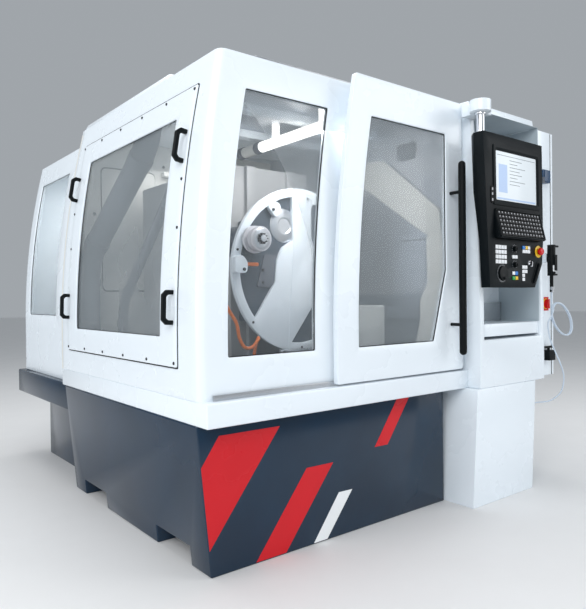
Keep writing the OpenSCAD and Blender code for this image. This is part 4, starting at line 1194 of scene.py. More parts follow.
    def side_panel(self, walls: Walls) -> None:
        """Lift-off panel with the black band of painted shade round it, its window, handles and screws."""
        (y0, z0), (y1, z1) = self.bench.low("service_panel")[1:], self.bench.high("service_panel")[1:]
        (h0, g0), (h1, g1) = (
            self.bench.low("service_window")[1:] + self.lap, self.bench.high("service_window")[1:] - self.lap
        )
        outer = rounded_loop(leaning_rect((y1, z0), (y0, z1)), self.panel_rounds[0])
        inner = rounded_loop(leaning_rect((h1, g0), (h0, g1)), self.panel_rounds[1])
        across, up = self.gap_shade
        half = self.seal / 2
        rows = (
            ("service_panel_sheet", sheet_frame, (outer, inner), self.panel, self.paint.white, "white_paint",
             {"replaces": ["service_panel"], "bevel": Edge.SHEET}),
            # A black sheet behind the panel's edge: painted shade of the gap round the panel.
            ("service_panel_gap_shade", sheet_frame, (grown(outer, across, up), grown(outer, -across, -up)),
             self.panel_gap_shade, self.paint.seal, "black_plastic", {}),
            ("service_window_pane", sheet_pane, (grown(inner, self.lap, self.lap),), self.panel_pane,
             self.paint.glass, "window", {"replaces": ["service_window"]}),
            ("service_window_seal", sheet_frame, (grown(inner, half, half), grown(inner, -half, -half)),
             self.panel_seal, self.paint.seal, "black_plastic", {}),
        )
        for name, sheet, loops, (out, wall), finish, slot, more in rows:
            self.add(name, sheet(*loops, lambda p: walls.on_side(p, out)), finish, slot, wall=wall, **more)
        self.soften(self.paint.black, Edge.EASED, "grab_handles")
        self.soften(self.paint.dark_steel, Edge.KEEN, "service_screws")

    def rear_wall(self, walls: Walls) -> None:
        """Left wall of the rear housing with its window."""
        low, high = self.bench.low("rear_left_wall"), self.bench.high("rear_left_wall")
        (h0, g0), (h1, g1) = self.bench.low("rear_window")[1:], self.bench.high("rear_window")[1:]
        outline = leaning_rect((high[1] + self.rear_lap, low[2]), (low[1], high[2] + self.rear_lap))
        outer = rounded_loop(outline, self.crisp[1])
        inner = rounded_loop(leaning_rect((h1, g0), (h0, g1)), self.round_out)

        def at(out: float) -> Callable[[np.ndarray], np.ndarray]:
            """Puts points on the rear wall, at a distance in front of it."""
            return lambda p: walls.on_side(p, out, low[0])

        sheet = sheet_frame(outer, inner, at(self.skin[0]))
        self.add("rear_wall_sheet", sheet, self.paint.white, "white_paint",
                 replaces=["rear_left_wall"], wall=self.skin[1], bevel=Edge.EASED)
        self.add("rear_window_pane", sheet_pane(inner, at(self.pane[0])), self.paint.glass, "window",
                 replaces=["rear_window"], wall=self.pane[1])
        seal = sheet_frame(inner, grown(inner, -self.seal, -self.seal), at(self.rear_seal[0]))
        self.add("rear_window_seal", seal, self.paint.seal, "black_plastic", wall=self.rear_seal[1])


@dataclass
class Base(Assembly):
    """Dark base with its diagonal stripes, and the rear tank.

    Args:
        stripes: Corners of each red stripe on the base's front, in x and z.
        pale: Corners of the white stripe.
        film: Thickness of the stripes.
    """

    stripes: Sequence[Outline] = (
        ((-0.632, 0.533), (-0.343, 0.531), (-0.678, 0.105), (-0.71, 0.423)),
        ((-0.204, 0.334), (-0.054, 0.332), (-0.317, 0.006), (-0.467, 0.006)),
        ((0.365, 0.572), (0.452, 0.572), (0.291, 0.356), (0.205, 0.357)),
    )
    pale: Outline = ((-0.022, 0.194), (0.059, 0.192), (-0.092, 0.006), (-0.168, 0.006))
    film: float = 0.0006

    def build(self) -> None:
        """Makes the base, its stripes and the tank."""
        self.soften(self.paint.navy, Edge.ROUND, "base_casting")
        self.soften(self.paint.navy, Edge.BROAD, "rear_tank")
        face = self.bench.low("base_casting")[1]
        span = (face - self.film, face + self.film)
        red = join([prism(corners, span, Axis.Y) for corners in self.stripes])
        self.add("red_stripes", red, self.paint.red_stripe, "signal_red")
        self.add("white_stripe", prism(self.pale, span, Axis.Y), self.paint.white_stripe, "white_paint")


@dataclass
class SlidingDoor(Assembly):
    """Sliding front door with its window and pull bar.

    Args:
        lean: How far its left edge leans in at the roof.
        clip: Width and height of the window's clipped corner.
        chamfer: Size of the door's clipped lower corner.
        rounds: Size of the rounds at the corners of the door and of its window.
        seal: Width of the window's seal.
        pane: Depth of the pane behind the door's face, and its thickness.
        seal_seat: The same of the seal.
    """

    lean: float = 0.125
    clip: Span = (0.099, 0.347)
    chamfer: float = 0.012
    rounds: Span = (0.008, 0.009)
    seal: float = 0.0032
    pane: Span = (0.009, 0.007)
    seal_seat: Span = (0.005, 0.004)
    body = Body.DOOR

    def build(self) -> None:
        """Makes the door's sheet, window, pull bar and hangers."""
        walls = Walls(self.bench)
        low, high = self.bench.low("door_shell"), self.bench.high("door_shell")
        outer = rounded_loop(self.clipped(low, high, (self.chamfer, self.chamfer)), self.rounds[0])
        window = self.bench.low("door_window"), self.bench.high("door_window")
        inner = rounded_loop(self.clipped(*window, self.clip), self.rounds[1])

        def at(depth: float) -> Callable[[np.ndarray], np.ndarray]:
            """Puts points of x, z and lean on the door, at a depth behind its face."""
            def place(loop: np.ndarray) -> np.ndarray:
                """Puts the points of one outline."""
                x, z, top = np.moveaxis(loop, -1, 0)
                return np.stack([x + top * walls.share(z), low[1] + depth + 0 * x, z], -1)

            return place

        self.add("door_sheet", sheet_frame(outer, inner, at(0.0)), self.paint.white, "white_paint",
                 replaces=["door_shell"], wall=high[1] - low[1], bevel=Edge.EASED)
        self.add("door_pane", sheet_pane(inner, at(self.pane[0])), self.paint.glass, "window",
                 replaces=["door_window"], wall=self.pane[1])
        seal = sheet_frame(inner, grown(inner, -self.seal, -self.seal), at(self.seal_seat[0]))
        self.add("door_window_seal", seal, self.paint.seal, "black_plastic", wall=self.seal_seat[1])
        self.soften(self.paint.black, Edge.NONE, "door_pull")
        self.soften(self.paint.steel, Edge.KEEN, "door_hangers")

    def clipped(self, low: np.ndarray, high: np.ndarray, clip: Span) -> list[Point]:
        """Corners of an outline in x, z and lean, with its lower right corner clipped."""
        (x0, _, z0), (x1, _, z1) = low, high
        return [(x0, z0, self.lean), (x1 - clip[0], z0, 0.0), (x1, z0 + clip[1], 0.0), (x1, z1, 0.0),
                (x0, z1, self.lean)]


@dataclass
class GrindingHead(Assembly):
    """Column, saddle, wheel head with its round guard, and the wheels.

    Places are x and z from the middle of the guard, and depths go back from its face.

    Args:
        plate_r: Radius of the slate plate behind the guard.
        plate_t: Thickness of the slate plate.
        plate_sides: Points round the slate plate.
        lugs: Depths and corners of the two white lugs on the guard.
        lug_round: Size of the rounds at the corners of a lug.
        shield: Corners of the small plate behind the opening.
        shield_round: Size of the rounds at its corners.
        shield_span: Its depths from the guard's back.
        disc: Middle of the round cover behind the opening, and its radius.
        disc_profile: Share of the radius and height of each point of the round cover.
        screw: Radius, height and edge of a screw.
        screws: Places of the screws on the lugs and the small plate, as x, depth and z.
        pin: Radius, height and edge of a small screw.
        pins: Places of the small screws on the guard's face.
        crease: Ends of the crease down the guard's face.
        crease_r: Radius of the crease.
        crease_out: How far the crease's middle stands in front of the face.
        flange: Radius and height of each point of the wheels' flange.
        flange_in: How far the flange's foot is behind the wheels' front.
        lobes: Lobes of the knob on the wheels' hub.
        lobe_steps: Points on each lobe.
        knob_r: Middle radius of the knob.
        knob_share: Share by which the lobes stand out.
        knob_span: Depths of the knob from the wheels' front.
    """

    plate_r: float = 0.392
    plate_t: float = 0.004
    plate_sides: int = 96
    lugs: Sequence[tuple[Span, Outline]] = (
        ((-0.012, 0.012),
         ((-0.21, 0.305), (-0.18, 0.337), (-0.135, 0.327), (-0.128, 0.285), (-0.165, 0.253))),
        ((-0.042, 0.001),
         ((-0.424, 0.054), (-0.384, 0.064), (-0.352, 0.03), (-0.358, -0.022), (-0.424, -0.024))),
    )
    lug_round: float = 0.018
    shield: Outline = ((-0.22, 0.072), (-0.266, -0.088), (-0.13, -0.088), (-0.11, 0.072))
    shield_round: float = 0.012
    shield_span: Span = (-0.011, -0.001)
    disc: Point = (-0.095, 0.222, 0.085)
    disc_profile: Outline = ((0, 0), (1, 0), (1, 0.004), (0.9, 0.01), (0.5, 0.012), (0.42, 0.007), (0, 0.007))
    screw: Point = (0.008, 0.006, 0.002)
    screws: Outline = (
        (-0.232, 0.008, -0.004), (-0.233, 0.008, -0.064), (-0.18, -0.012, 0.294), (-0.376, -0.042, -0.005)
    )
    pin: Point = (0.006, 0.004, 0.001)
    pins: Outline = ((0.05, 0.368), (-0.385, 0.09), (-0.3, -0.258), (0.0, -0.395), (0.3, 0.26))
    crease: Outline = ((-0.026, 0.405), (-0.086, -0.4))
    crease_r: float = 0.0022
    crease_out: float = 0.0005
    flange: Outline = ((0, 0), (0.05, 0), (0.05, 0.003), (0.047, 0.005), (0.03, 0.006), (0, 0.006))
    flange_in: float = 0.006
    lobes: int = 10
    lobe_steps: int = 16
    knob_r: float = 0.021
    knob_share: float = 0.32
    knob_span: Span = (-0.014, 0.002)
    body = Body.HEAD

    def build(self) -> None:
        """Dresses the head."""
        self.soften(self.paint.cover, Edge.EASED, "head_column")
        self.soften(self.paint.cover, Edge.BROAD, "way_cover")
        self.soften(self.paint.slate, Edge.EASED, "wheel_saddle")
        self.soften(self.paint.slate, Edge.SOFT, "wheel_head")
        self.soften(self.paint.white, Edge.SOFT, "round_guard")
        self.soften(self.paint.orange, Edge.THIN, "coolant_pipe")
        self.soften(self.paint.steel, Edge.KEEN, "wheel_arbor")
        self.soften(self.paint.abrasive, Edge.THIN, "grinding_wheels")
        middle = self.bench.middle("round_guard")
        middle[1] = self.bench.low("round_guard")[1]
        self.behind(middle, self.bench.high("round_guard")[1] - middle[1])
        self.on_face(middle)
        self.hub()

    def behind(self, middle: np.ndarray, depth: float) -> None:
        """Slate plate behind the guard, with a small plate and a round cover on it.

        Args:
            middle: Middle of the guard's face.
            depth: Thickness of the guard.
        """
        disc = stud(self.plate_r, self.plate_t, sides=self.plate_sides)
        plate = to_front(disc, middle + np.array([0, depth + SUNK, 0]))
        self.add("slate_plate", plate, self.paint.slate, "cast_grey")
        span = (depth + self.shield_span[0], depth + self.shield_span[1])
        shield = prism(rounded_loop(self.shield, self.shield_round, run=2), span, Axis.Y).moved(middle)
        self.add("small_plate", shield, self.paint.duct, "cast_grey", bevel=Edge.KEEN)
        x, z, r = self.disc
        cover = to_front(lathe(np.array(self.disc_profile) * (r, 1)), middle + np.array([x, depth, z]))
        self.add("round_cover", cover, self.paint.alloy, "spindle_alloy")

    def on_face(self, middle: np.ndarray) -> None:
        """Lugs, screws and a crease on the guard's face, whose middle is given."""
        lugs = [
            prism(rounded_loop(corners, self.lug_round, arc=6, run=2), span, Axis.Y)
            for span, corners in self.lugs
        ]
        self.add("guard_lugs", join(lugs).moved(middle), self.paint.white, "white_paint", bevel=Edge.SOFT)
        screws = [to_front(stud(*self.screw, SCREW_SIDES), place) for place in self.screws]
        screws += [to_front(stud(*self.pin, SCREW_SIDES), (x, 0, z)) for x, z in self.pins]
        self.add("guard_screws", join(screws).moved(middle), self.paint.dark_steel, "fixings")
        ends = np.array([[x, -self.crease_out, z] for x, z in self.crease]) + middle
        line = between(ends[:1], ends[1:], rows=8).reshape(-1, 3)
        self.add("guard_crease", tube(line, self.crease_r, sides=8), self.paint.white, "white_paint")

    def hub(self) -> None:
        """Flange and lobed knob on the wheels; the knob's outline is r (1 + k cos n a)."""
        arbor = self.bench.middle("wheel_arbor")
        arbor[1] = self.bench.low("grinding_wheels")[1]
        flange = to_front(lathe(self.flange), arbor + np.array([0, self.flange_in, 0]))
        self.add("wheel_flange", flange, self.paint.alloy, "spindle_alloy", Body.WHEELS)
        a = np.linspace(0, 2 * math.pi, self.lobe_steps * self.lobes, endpoint=False)
        r = self.knob_r * (1 + self.knob_share * np.cos(self.lobes * a))
        knob = prism(np.stack([r * np.cos(a), r * np.sin(a)], -1), self.knob_span, Axis.Y).moved(arbor)
        self.add("hub_knob", knob, self.paint.dark_steel, "fixings", Body.WHEELS)


@dataclass
class WorkSpace(Assembly):
    """Bed, table, workhead, lamp, ducts and linings inside the chamber.

    Args:
        sheet: Thickness of the steel linings.
        lining_start: How far behind the right wall's front edge its lining starts.
        bands: Width and corners, in y and z, of the slanting band and the pale strip on the right wall.
        ledges: Width, and spans in y and z, of the ledge and the small plate on the right wall.
        seam: Width, and spans in y and z, of the seam on the right wall.
        roof_in: How far the roof's lining starts from the roof's left and front edges.
        roof_end: Where the roof's lining ends.
        beams: Fronts of the cross beams.
        beam: Width and height of a beam.
        sleeve: Radius and height of each point of the lamp's sleeve.
        sleeve_in: How far the sleeve runs over the lamp's end.
        cap: Radius, length and edge of the sleeve's caps.
        caps: Places of the caps along the sleeve.
        hatch: Corners of the hatch on the bulkhead, in x and z.
        hatch_round: Size of the rounds at its corners.
        hatch_share: Share by which its plate is smaller than its seal.
        hatch_out: How far the seal and the plate stand in front of the bulkhead.
        shelf: Ends of the bulkhead's ledges.
        shelf_h: Height of a ledge.
        shelves: Width and foot of each ledge.
        bolt: Radius, height and edge of a bolt on the bulkhead.
        bolt_grid: Places of the bolts across and up.
        line: Points of the coolant line at the lower left.
        line_r: Radius of the coolant line.
        line_sides: Points round the coolant line.
    """

    sheet: float = 0.0015
    lining_start: float = 0.01
    bands: Sequence[tuple[float, Outline]] = (
        (0.02, ((-0.05, 1.84), (-0.34, 1.816), (-0.722, 1.495), (-0.735, 1.34), (-0.66, 1.362),
                (-0.532, 1.442), (-0.197, 1.674), (-0.05, 1.76))),
        (0.03, ((-0.643, 1.363), (-0.65, 1.12), (-0.598, 1.03), (-0.6, 0.93), (-0.566, 0.8),
                (-0.755, 0.8), (-0.755, 1.363))),
    )
    ledges: Sequence[tuple[float, Span, Span]] = (
        (0.04, (-0.6, 0.6), (0.933, 0.995)), (0.02, (-0.548, -0.437), (1.795, 1.878))
    )
    seam: tuple[float, Span, Span] = (0.0025, (-0.64, 0.7), (1.353, 1.357))
    roof_in: Span = (0.04, 0.06)
    roof_end: float = 0.2
    beams: Span = (-0.28, 0.12)
    beam: Span = (0.06, 0.045)
    sleeve: Outline = ((0, 0), (0.03, 0), (0.03, 0.2), (0, 0.2))
    sleeve_in: float = 0.002
    cap: Point = (0.034, 0.05, 0.004)
    caps: Span = (0.0, 0.17)
    hatch: Outline = ((-0.5, 1.1), (-0.16, 1.1), (-0.16, 1.826), (-0.5, 1.826))
    hatch_round: float = 0.035
    hatch_share: float = 0.02
    hatch_out: Span = (0.003, 0.009)
    shelf: Span = (-0.12, 0.72)
    shelf_h: float = 0.028
    shelves: Sequence[Span] = ((0.045, 1.805), (0.02, 1.74))
    bolt: Point = (0.009, 0.006, 0.002)
    bolt_grid: tuple[Point, Point] = ((-0.54, -0.1, 0.3), (1.2, 1.55, 1.87))
    line: Outline = (
        (-0.69, -0.5, 1.3), (-0.6, -0.52, 1.25), (-0.5, -0.52, 1.14), (-0.47, -0.51, 1.06),
        (-0.434, -0.5, 1.004), (-0.395, -0.5, 0.945), (-0.38, -0.5, 0.88), (-0.352, -0.5, 0.838),
        (-0.313, -0.5, 0.838), (-0.282, -0.5, 0.868), (-0.262, -0.47, 0.872), (-0.258, -0.44, 0.82),
        (-0.262, -0.43, 0.738),
    )
    line_r: float = 0.0075
    line_sides: int = 12

    def build(self) -> None:
        """Dresses the chamber's inside."""
        self.soften(self.paint.cast, Edge.ROUND, "bed_casting")
        self.soften(self.paint.steel, Edge.KEEN, "table_rails")
        self.soften(self.paint.steel, Edge.THIN, "work_table")
        self.soften(self.paint.inner, Edge.ROUND, "workhead")
        self.soften(self.paint.steel, Edge.THIN, "collet_chuck")
        self.soften(self.paint.chrome, Edge.KEEN, "tool_blank")
        self.soften(self.paint.lamp, Edge.THIN, "work_lamp")
        self.soften(self.paint.duct, Edge.NONE, "exhaust_duct", "conduit_duct")
        self.right_wall()
        self.ceiling()
        self.back_wall()
        line = tube(smooth_path(self.line), self.line_r, self.line_sides)
        self.add("coolant_line", line, self.paint.orange, "orange_plastic")

    def right_wall(self) -> None:
        """Steel lining of the right wall, its slanting band, the pale strip, a ledge and a seam."""
        x, y, z = self.bench.low("right_wall")
        span = (y + self.lining_start, self.bench.low("bulkhead")[1])
        lining = box((x - self.sheet, x), span, (z, self.bench.low("roof_panel")[2]))
        self.add("wall_lining", lining, self.paint.sheet, "machined_steel")
        bands = [prism(outline, (x - wide, x - SUNK), Axis.X) for wide, outline in self.bands]
        self.add("wall_bands", join(bands), self.paint.inner, "inner_paint", bevel=Edge.THIN)
        ledges = [box((x - wide, x - SUNK), *spans) for wide, *spans in self.ledges]
        self.add("wall_ledge", join(ledges), self.paint.duct, "cast_grey", bevel=Edge.EASED)
        wide, *spans = self.seam
        self.add("wall_seam", box((x - wide, x - SUNK), *spans), self.paint.seal, "black_plastic")

    def ceiling(self) -> None:
        """Steel sheet, cross beams and the lamp's sockets under the roof."""
        x, y, z = self.bench.low("roof_panel")
        wide = (x + self.roof_in[0], self.bench.low("right_wall")[0])
        lining = box(wide, (y + self.roof_in[1], self.roof_end), (z - self.sheet, z))
        self.add("roof_lining", lining, self.paint.sheet, "machined_steel")
        deep, drop = self.beam
        beams = [box(wide, (front, front + deep), (z - drop, z - SUNK)) for front in self.beams]
        self.add("roof_beams", join(beams), self.paint.white, "white_paint", bevel=Edge.EASED)
        low, high = self.bench.low("work_lamp"), self.bench.high("work_lamp")
        axis = np.array([(low[0] + high[0]) / 2, high[1] - self.sleeve_in, low[2] + (high[0] - low[0]) / 2])
        sleeve = along(Axis.Y, lathe(self.sleeve)).moved(axis)
        self.add("lamp_sleeve", sleeve, self.paint.inner, "lamp_white", bevel=Edge.THIN)
        caps = [along(Axis.Y, stud(*self.cap)).moved(axis + np.array([0, start, 0])) for start in self.caps]
        self.add("lamp_caps", join(caps), self.paint.duct, "black_plastic")

    def back_wall(self) -> None:
        """Hatch, ledges and bolts on the bulkhead."""
        y = self.bench.low("bulkhead")[1]
        seal, plate = self.hatch_out
        hatch = rounded_loop(self.hatch, self.hatch_round, arc=6, run=6)
        self.add("hatch_seal", prism(hatch, (y - seal, y), Axis.Y), self.paint.seal, "black_plastic")
        small = hatch + (hatch.mean(0) - hatch) * self.hatch_share
        self.add("hatch_plate", prism(small, (y - plate, y - SUNK), Axis.Y), self.paint.inner, "inner_paint",
                 bevel=Edge.THIN)
        ledges = [box(self.shelf, (y - out, y), (z, z + self.shelf_h)) for out, z in self.shelves]
        self.add("back_ledges", join(ledges), self.paint.inner, "inner_paint", bevel=Edge.SOFT)
        across, up = self.bolt_grid
        bolts = [to_front(stud(*self.bolt, SCREW_SIDES), (x, y, z)) for x in across for z in up]
        self.add("back_bolts", join(bolts), self.paint.dark_steel, "fixings")


@dataclass
class Console(Assembly):
    """White console column with its alcove, pillar, shelf and the panel's post.

    Args:
        side: Width of the column's sides beside the alcove.
        head: Height of the column's head above the alcove.
        lining: Thickness of the sheets of painted shade on the alcove's right side and ceiling.
        shade_sheet_in: How far behind the column's front these sheets of painted shade start.
        pane_h: Height of the clear pane at the alcove's back.
        pane_span: How far the pane's faces are in front of the alcove's back.
        collar: Radius and height of each point of the collar under the bracket.
        collar_drop: How far the collar's foot is below the bracket.
    """

    side: float = 0.035
    head: float = 0.057
    lining: float = 0.001
    shade_sheet_in: float = 0.012
    pane_h: float = 0.108
    pane_span: Span = (0.02, 0.016)
    collar: Outline = ((0, 0), (0.024, 0), (0.027, 0.003), (0.027, 0.015), (0, 0.015))
    collar_drop: float = 0.014

    def build(self) -> None:
        """Dresses the column, and puts sheets of blue-grey painted shade on the right side and ceiling of its
        alcove.
        """
        self.soften(self.paint.white, Edge.ROUND, "console_column", "console_pillar", "post_bracket")
        self.soften(self.paint.white, Edge.SOFT, "console_shelf")
        self.soften(self.paint.chrome, Edge.KEEN, "panel_post")
        low, high = self.bench.low("console_column"), self.bench.high("console_column")
        x0, x1, z1 = low[0] + self.side, high[0] - self.side, high[2] - self.head
        _, back, shelf = self.bench.high("console_shelf")
        deep = (low[1] + self.shade_sheet_in, back)
        # Sheets of blue-grey painted shade: the alcove's right side and ceiling are white, and only shade
        # makes them darker.
        right = box((x1 - self.lining, x1), deep, (shelf, z1))
        top = box((x0, x1), deep, (z1 - self.lining, z1))
        self.add("alcove_shade_sheets", join([right, top]), self.paint.alcove, "white_paint")
        span = (back - self.pane_span[0], back - self.pane_span[1])
        pane = box((x0, x1 - self.lining), span, (shelf - SUNK, shelf + self.pane_h))
        self.add("alcove_pane", pane, self.paint.clear, "window", bevel=Edge.KEEN)
        post = self.bench.middle("panel_post")
        post[2] = self.bench.low("post_bracket")[2] - self.collar_drop
        self.add("post_collar", lathe(self.collar).moved(post), self.paint.chrome, "post_chrome")


@dataclass
class PanelFace(Assembly):
    """The control panel's leaning face, on which its parts are placed.

    Places on it are u to the right and v upwards, and d goes into it. Shares are of its width and height.

    Args:
        width: Width of the face from the post.
        height: Height of the face.
        foot: Depth of the housing at its foot.
        tilt: How far its top leans back, in degrees.
    """

    width: float = 0.49
    height: float = 0.755
    foot: float = 0.05
    tilt: float = 0.5
    body = Body.PANEL

    def __post_init__(self) -> None:
        """Reads the face's place from the frame."""
        self.lean = tipped(self.tilt)
        x, (_, y, z) = self.bench.middle("panel_post")[0], self.bench.low("panel_housing")
        self.origin = np.array([x, y, z + self.foot * math.sin(math.radians(self.tilt))])

    def at(self, share: Span) -> np.ndarray:
        """Place on the face of a pair of shares, as u, d and v."""
        return np.array([share[0] * self.width, 0.0, share[1] * self.height])

    def put(self, name: str, shape: Shape, finish: bpy.types.Material, slot: str, **more: object) -> None:
        """Adds a piece that is drawn in u, d and v, with further settings of Bench.add."""
        self.add(name, shape.turned(self.lean).moved(self.origin), finish, slot, **more)


class PanelHousing(PanelFace):
    """Black housing of the control panel and its controls."""

    def build(self) -> None:
        """Dresses the housing, the screen, the keys and the controls."""
        self.soften(self.paint.housing, Edge.FIRM, "panel_housing")
        self.soften(self.paint.screen, Edge.KEEN, "screen")
        self.soften(self.paint.pale_keys, Edge.CRISP, "panel_keys")
        self.soften(self.paint.red, Edge.THIN, "stop_button")
        self.soften(self.paint.black, Edge.THIN, "jog_wheel", "feed_knob", "speed_knob")


@dataclass
class Display(PanelFace):
    """Bezel round the screen, and what the screen shows.

    Args:
        bezel: Growth round the screen and d of each ring of the bezel.
        bezel_round: Size of the rounds at the bezel's corners.
        bezel_t: Thickness of the bezel.
        print_span: Ends of the screen's print in d.
        block: Spans in u and v of the block on the screen, from the screen's lower left corner.
        bars: Spans in v of the bars at the screen's foot, from its foot, and at its head, from its head.
        bar_in: How far the bars stop short of the screen's sides.
        line_at: Start of the lines on the screen in u, and their height.
        line_rows: First and last place of the lines in v.
        line_lengths: Lengths of the lines, used twice.
    """

    bezel: Outline = ((0.026, 0.001), (0.025, -0.005), (0.012, -0.007), (-0.001, 0.0005))
    bezel_round: float = 0.006
    bezel_t: float = 0.0004
    print_span: Span = (0.0004, 0.0012)
    block: tuple[Span, Span] = ((0.024, 0.098), (0.041, 0.18))
    bars: tuple[Span, Span] = ((0.006, 0.014), (-0.02, -0.0185))
    bar_in: float = 0.01
    line_at: Span = (0.12, 0.002)
    line_rows: Span = (0.085, 0.205)
    line_lengths: Sequence[float] = (0.09, 0.14, 0.07, 0.11)

    def build(self) -> None:
        """Makes the bezel and the print."""
        u0, _, v0 = self.bench.low("screen") - self.origin
        u1, _, v1 = self.bench.high("screen") - self.origin
        corners = np.array([(u0, v0), (u1, v0), (u1, v1), (u0, v1)])
        out = np.sign(corners - corners.mean(0))
        loops = [rounded_loop(corners + out * grow, self.bezel_round, run=4) for grow, _ in self.bezel]
        rings = np.stack([np.insert(loop, 1, d, axis=1) for loop, (_, d) in zip(loops, self.bezel)])
        bezel = grid(rings, close_cols=True)
        self.put("screen_bezel", bezel, self.paint.housing, "black_plastic", wall=self.bezel_t)
        wide = (u0 + self.bar_in, u1 - self.bar_in)
        (b0, b1), (c0, c1) = self.block
        (f0, f1), (h0, h1) = self.bars
        block = box((u0 + b0, u0 + b1), self.print_span, (v0 + c0, v0 + c1))
        foot = box(wide, self.print_span, (v0 + f0, v0 + f1))
        self.put("screen_block", join([block, foot]), self.paint.display_blue, "display")
        start, thick = u0 + self.line_at[0], self.line_at[1]
        lengths = np.tile(self.line_lengths, 2)
        rows = zip(np.linspace(v0 + self.line_rows[0], v0 + self.line_rows[1], len(lengths)), lengths)
        lines = [box((start, start + long), self.print_span, (v, v + thick)) for v, long in rows]
        head = box(wide, self.print_span, (v1 + h0, v1 + h1))
        self.put("screen_lines", join([*lines, head]), self.paint.slate, "display")


@dataclass
class Keyboard(PanelFace):
    """Sloping keyboard tray: rows of keys on a wedge that comes forward at its foot.

    Args:
        tray: Span in u of the tray.
        tray_top: Top of the tray in v.
        tray_long: Length of the tray's slope.
        tray_in: How deep the tray sits in the housing.
        slope: Slope of the tray, in degrees.
        rim: Width of the rim round the keys, and its distance from the slope's ends.
        rows: Rows of keys.
        columns: Columns of keys.
        margins: Distance from the tray's sides, top and foot to the middles of the outer keys.
        cap: Half width, height and half length of a key cap.
        mark: Spans of the print on a key cap, from its middle.
    """

    tray: Span = (0.05, 0.45)
    tray_top: float = 0.388
    tray_long: float = 0.15
    tray_in: float = 0.002
    slope: float = 13.0
    rim: Span = (0.006, 0.002)
    rows: int = 6
    columns: int = 14
    margins: Point = (0.024, 0.021, 0.023)
    cap: Point = (0.0115, 0.005, 0.009)
    mark: tuple[Span, Span, Span] = ((-0.006, 0.001), (-0.0053, -0.004), (-0.001, 0.005))

    def build(self) -> None:
        """Makes the tray, its rim, the key caps and their print."""
        (left, right), top, long = self.tray, self.tray_top, self.tray_long
        a = math.radians(self.slope)
        low = top - long * math.cos(a)
        outline = [(self.tray_in, top), (self.tray_in, low), (-long * math.sin(a), low)]
        self.put("keyboard_tray", prism(outline, self.tray, Axis.X), self.paint.housing, "keyboard_dark",
                 replaces=["keyboard"], bevel=Edge.SOFT)
        turn, edge = tipped(self.slope), np.array([0.0, 0.0, top])
        bar, gap = self.rim
        end = 2 * gap - long
        spans = (
            (self.tray, (-bar - gap, -gap)), (self.tray, (end, end + bar)),
            ((left, left + bar), (end, -gap)), ((right - bar, right), (end, -gap)),
        )
        rim = [box(across, (-bar, SUNK), down) for across, down in spans]
        side, first, last = self.margins
        u = np.linspace(left + side, right - side, self.columns)
        v = np.linspace(-first, last - long, self.rows)
        w, h, d = self.cap
        caps = [box((x - w, x + w), (-h, 0.0), (z - d, z + d)) for x in u for z in v]
        marks = [box(*self.mark).moved((x, 0, z)) for x in u for z in v]
        for name, shapes, finish, slot, more in (
            ("keyboard_rim", rim, self.paint.housing, "keyboard_dark", {"bevel": Edge.KEEN}),
            ("key_caps", caps, self.paint.keys, "keyboard_dark", {"bevel": Edge.FINE, "segments": 2}),
            ("key_marks", marks, self.paint.legend, "key_pale", {}),
        ):
            self.put(name, join(shapes).turned(turn).moved(edge), finish, slot, **more)


@dataclass
class ColouredKeys(PanelFace):
    """Coloured keys and the small socket plate left of the screen.

    Args:
        blue: Places of the blue keys.
        yellow: Places of the yellow keys.
        green: Place of the green key.
        key: Half width and half height of a coloured key.
        key_span: Ends of a coloured key in d.
        socket_at: Middle of the socket plate in u and v.
        socket: Half width, half height and rounds of the socket plate.
        socket_span: Ends of the socket plate in d.
        port: Spans of a port on the socket plate, from its middle.
        ports: Heights of the ports from the plate's middle.
    """

    blue: Sequence[Span] = ((0.604, 0.271), (0.46, 0.095))
    yellow: Sequence[Span] = ((0.653, 0.271), (0.46, 0.062))
    green: Sequence[Span] = ((0.411, 0.062),)
    key: Span = (0.0103, 0.0088)
    key_span: Span = (-0.0065, 0.001)
    socket_at: Span = (0.027, 0.454)
    socket: Point = (0.012, 0.042, 0.011)
    socket_span: Span = (-0.004, 0.002)
    port: tuple[Span, Span, Span] = ((-0.005, 0.004), (-0.0045, -0.003), (-0.006, 0.006))
    ports: Point = (-0.026, 0.002, 0.026)

    def build(self) -> None:
        """Makes the keys, the plate and its ports."""
        w, h = self.key
        for name, finish, shares in (
            ("blue_keys", self.paint.blue, self.blue),
            ("yellow_keys", self.paint.yellow, self.yellow),
            ("green_keys", self.paint.green, self.green),
        ):
            caps = [box((-w, w), self.key_span, (-h, h)).moved(self.at(share)) for share in shares]
            self.put(name, join(caps), finish, "key_pale", bevel=Edge.FINE)
        (u, v), (w, h, r) = self.socket_at, self.socket
        corners = [(u - w, v - h), (u + w, v - h), (u + w, v + h), (u - w, v + h)]
        plate = prism(rounded_loop(corners, r, arc=6, run=2), self.socket_span, Axis.Y)
        self.put("socket_plate", plate, self.paint.seal, "black_plastic", bevel=Edge.KEEN)
        ports = [box(*self.port).moved((u, 0, v + up)) for up in self.ports]
        self.put("socket_ports", join(ports), self.paint.legend, "key_pale")


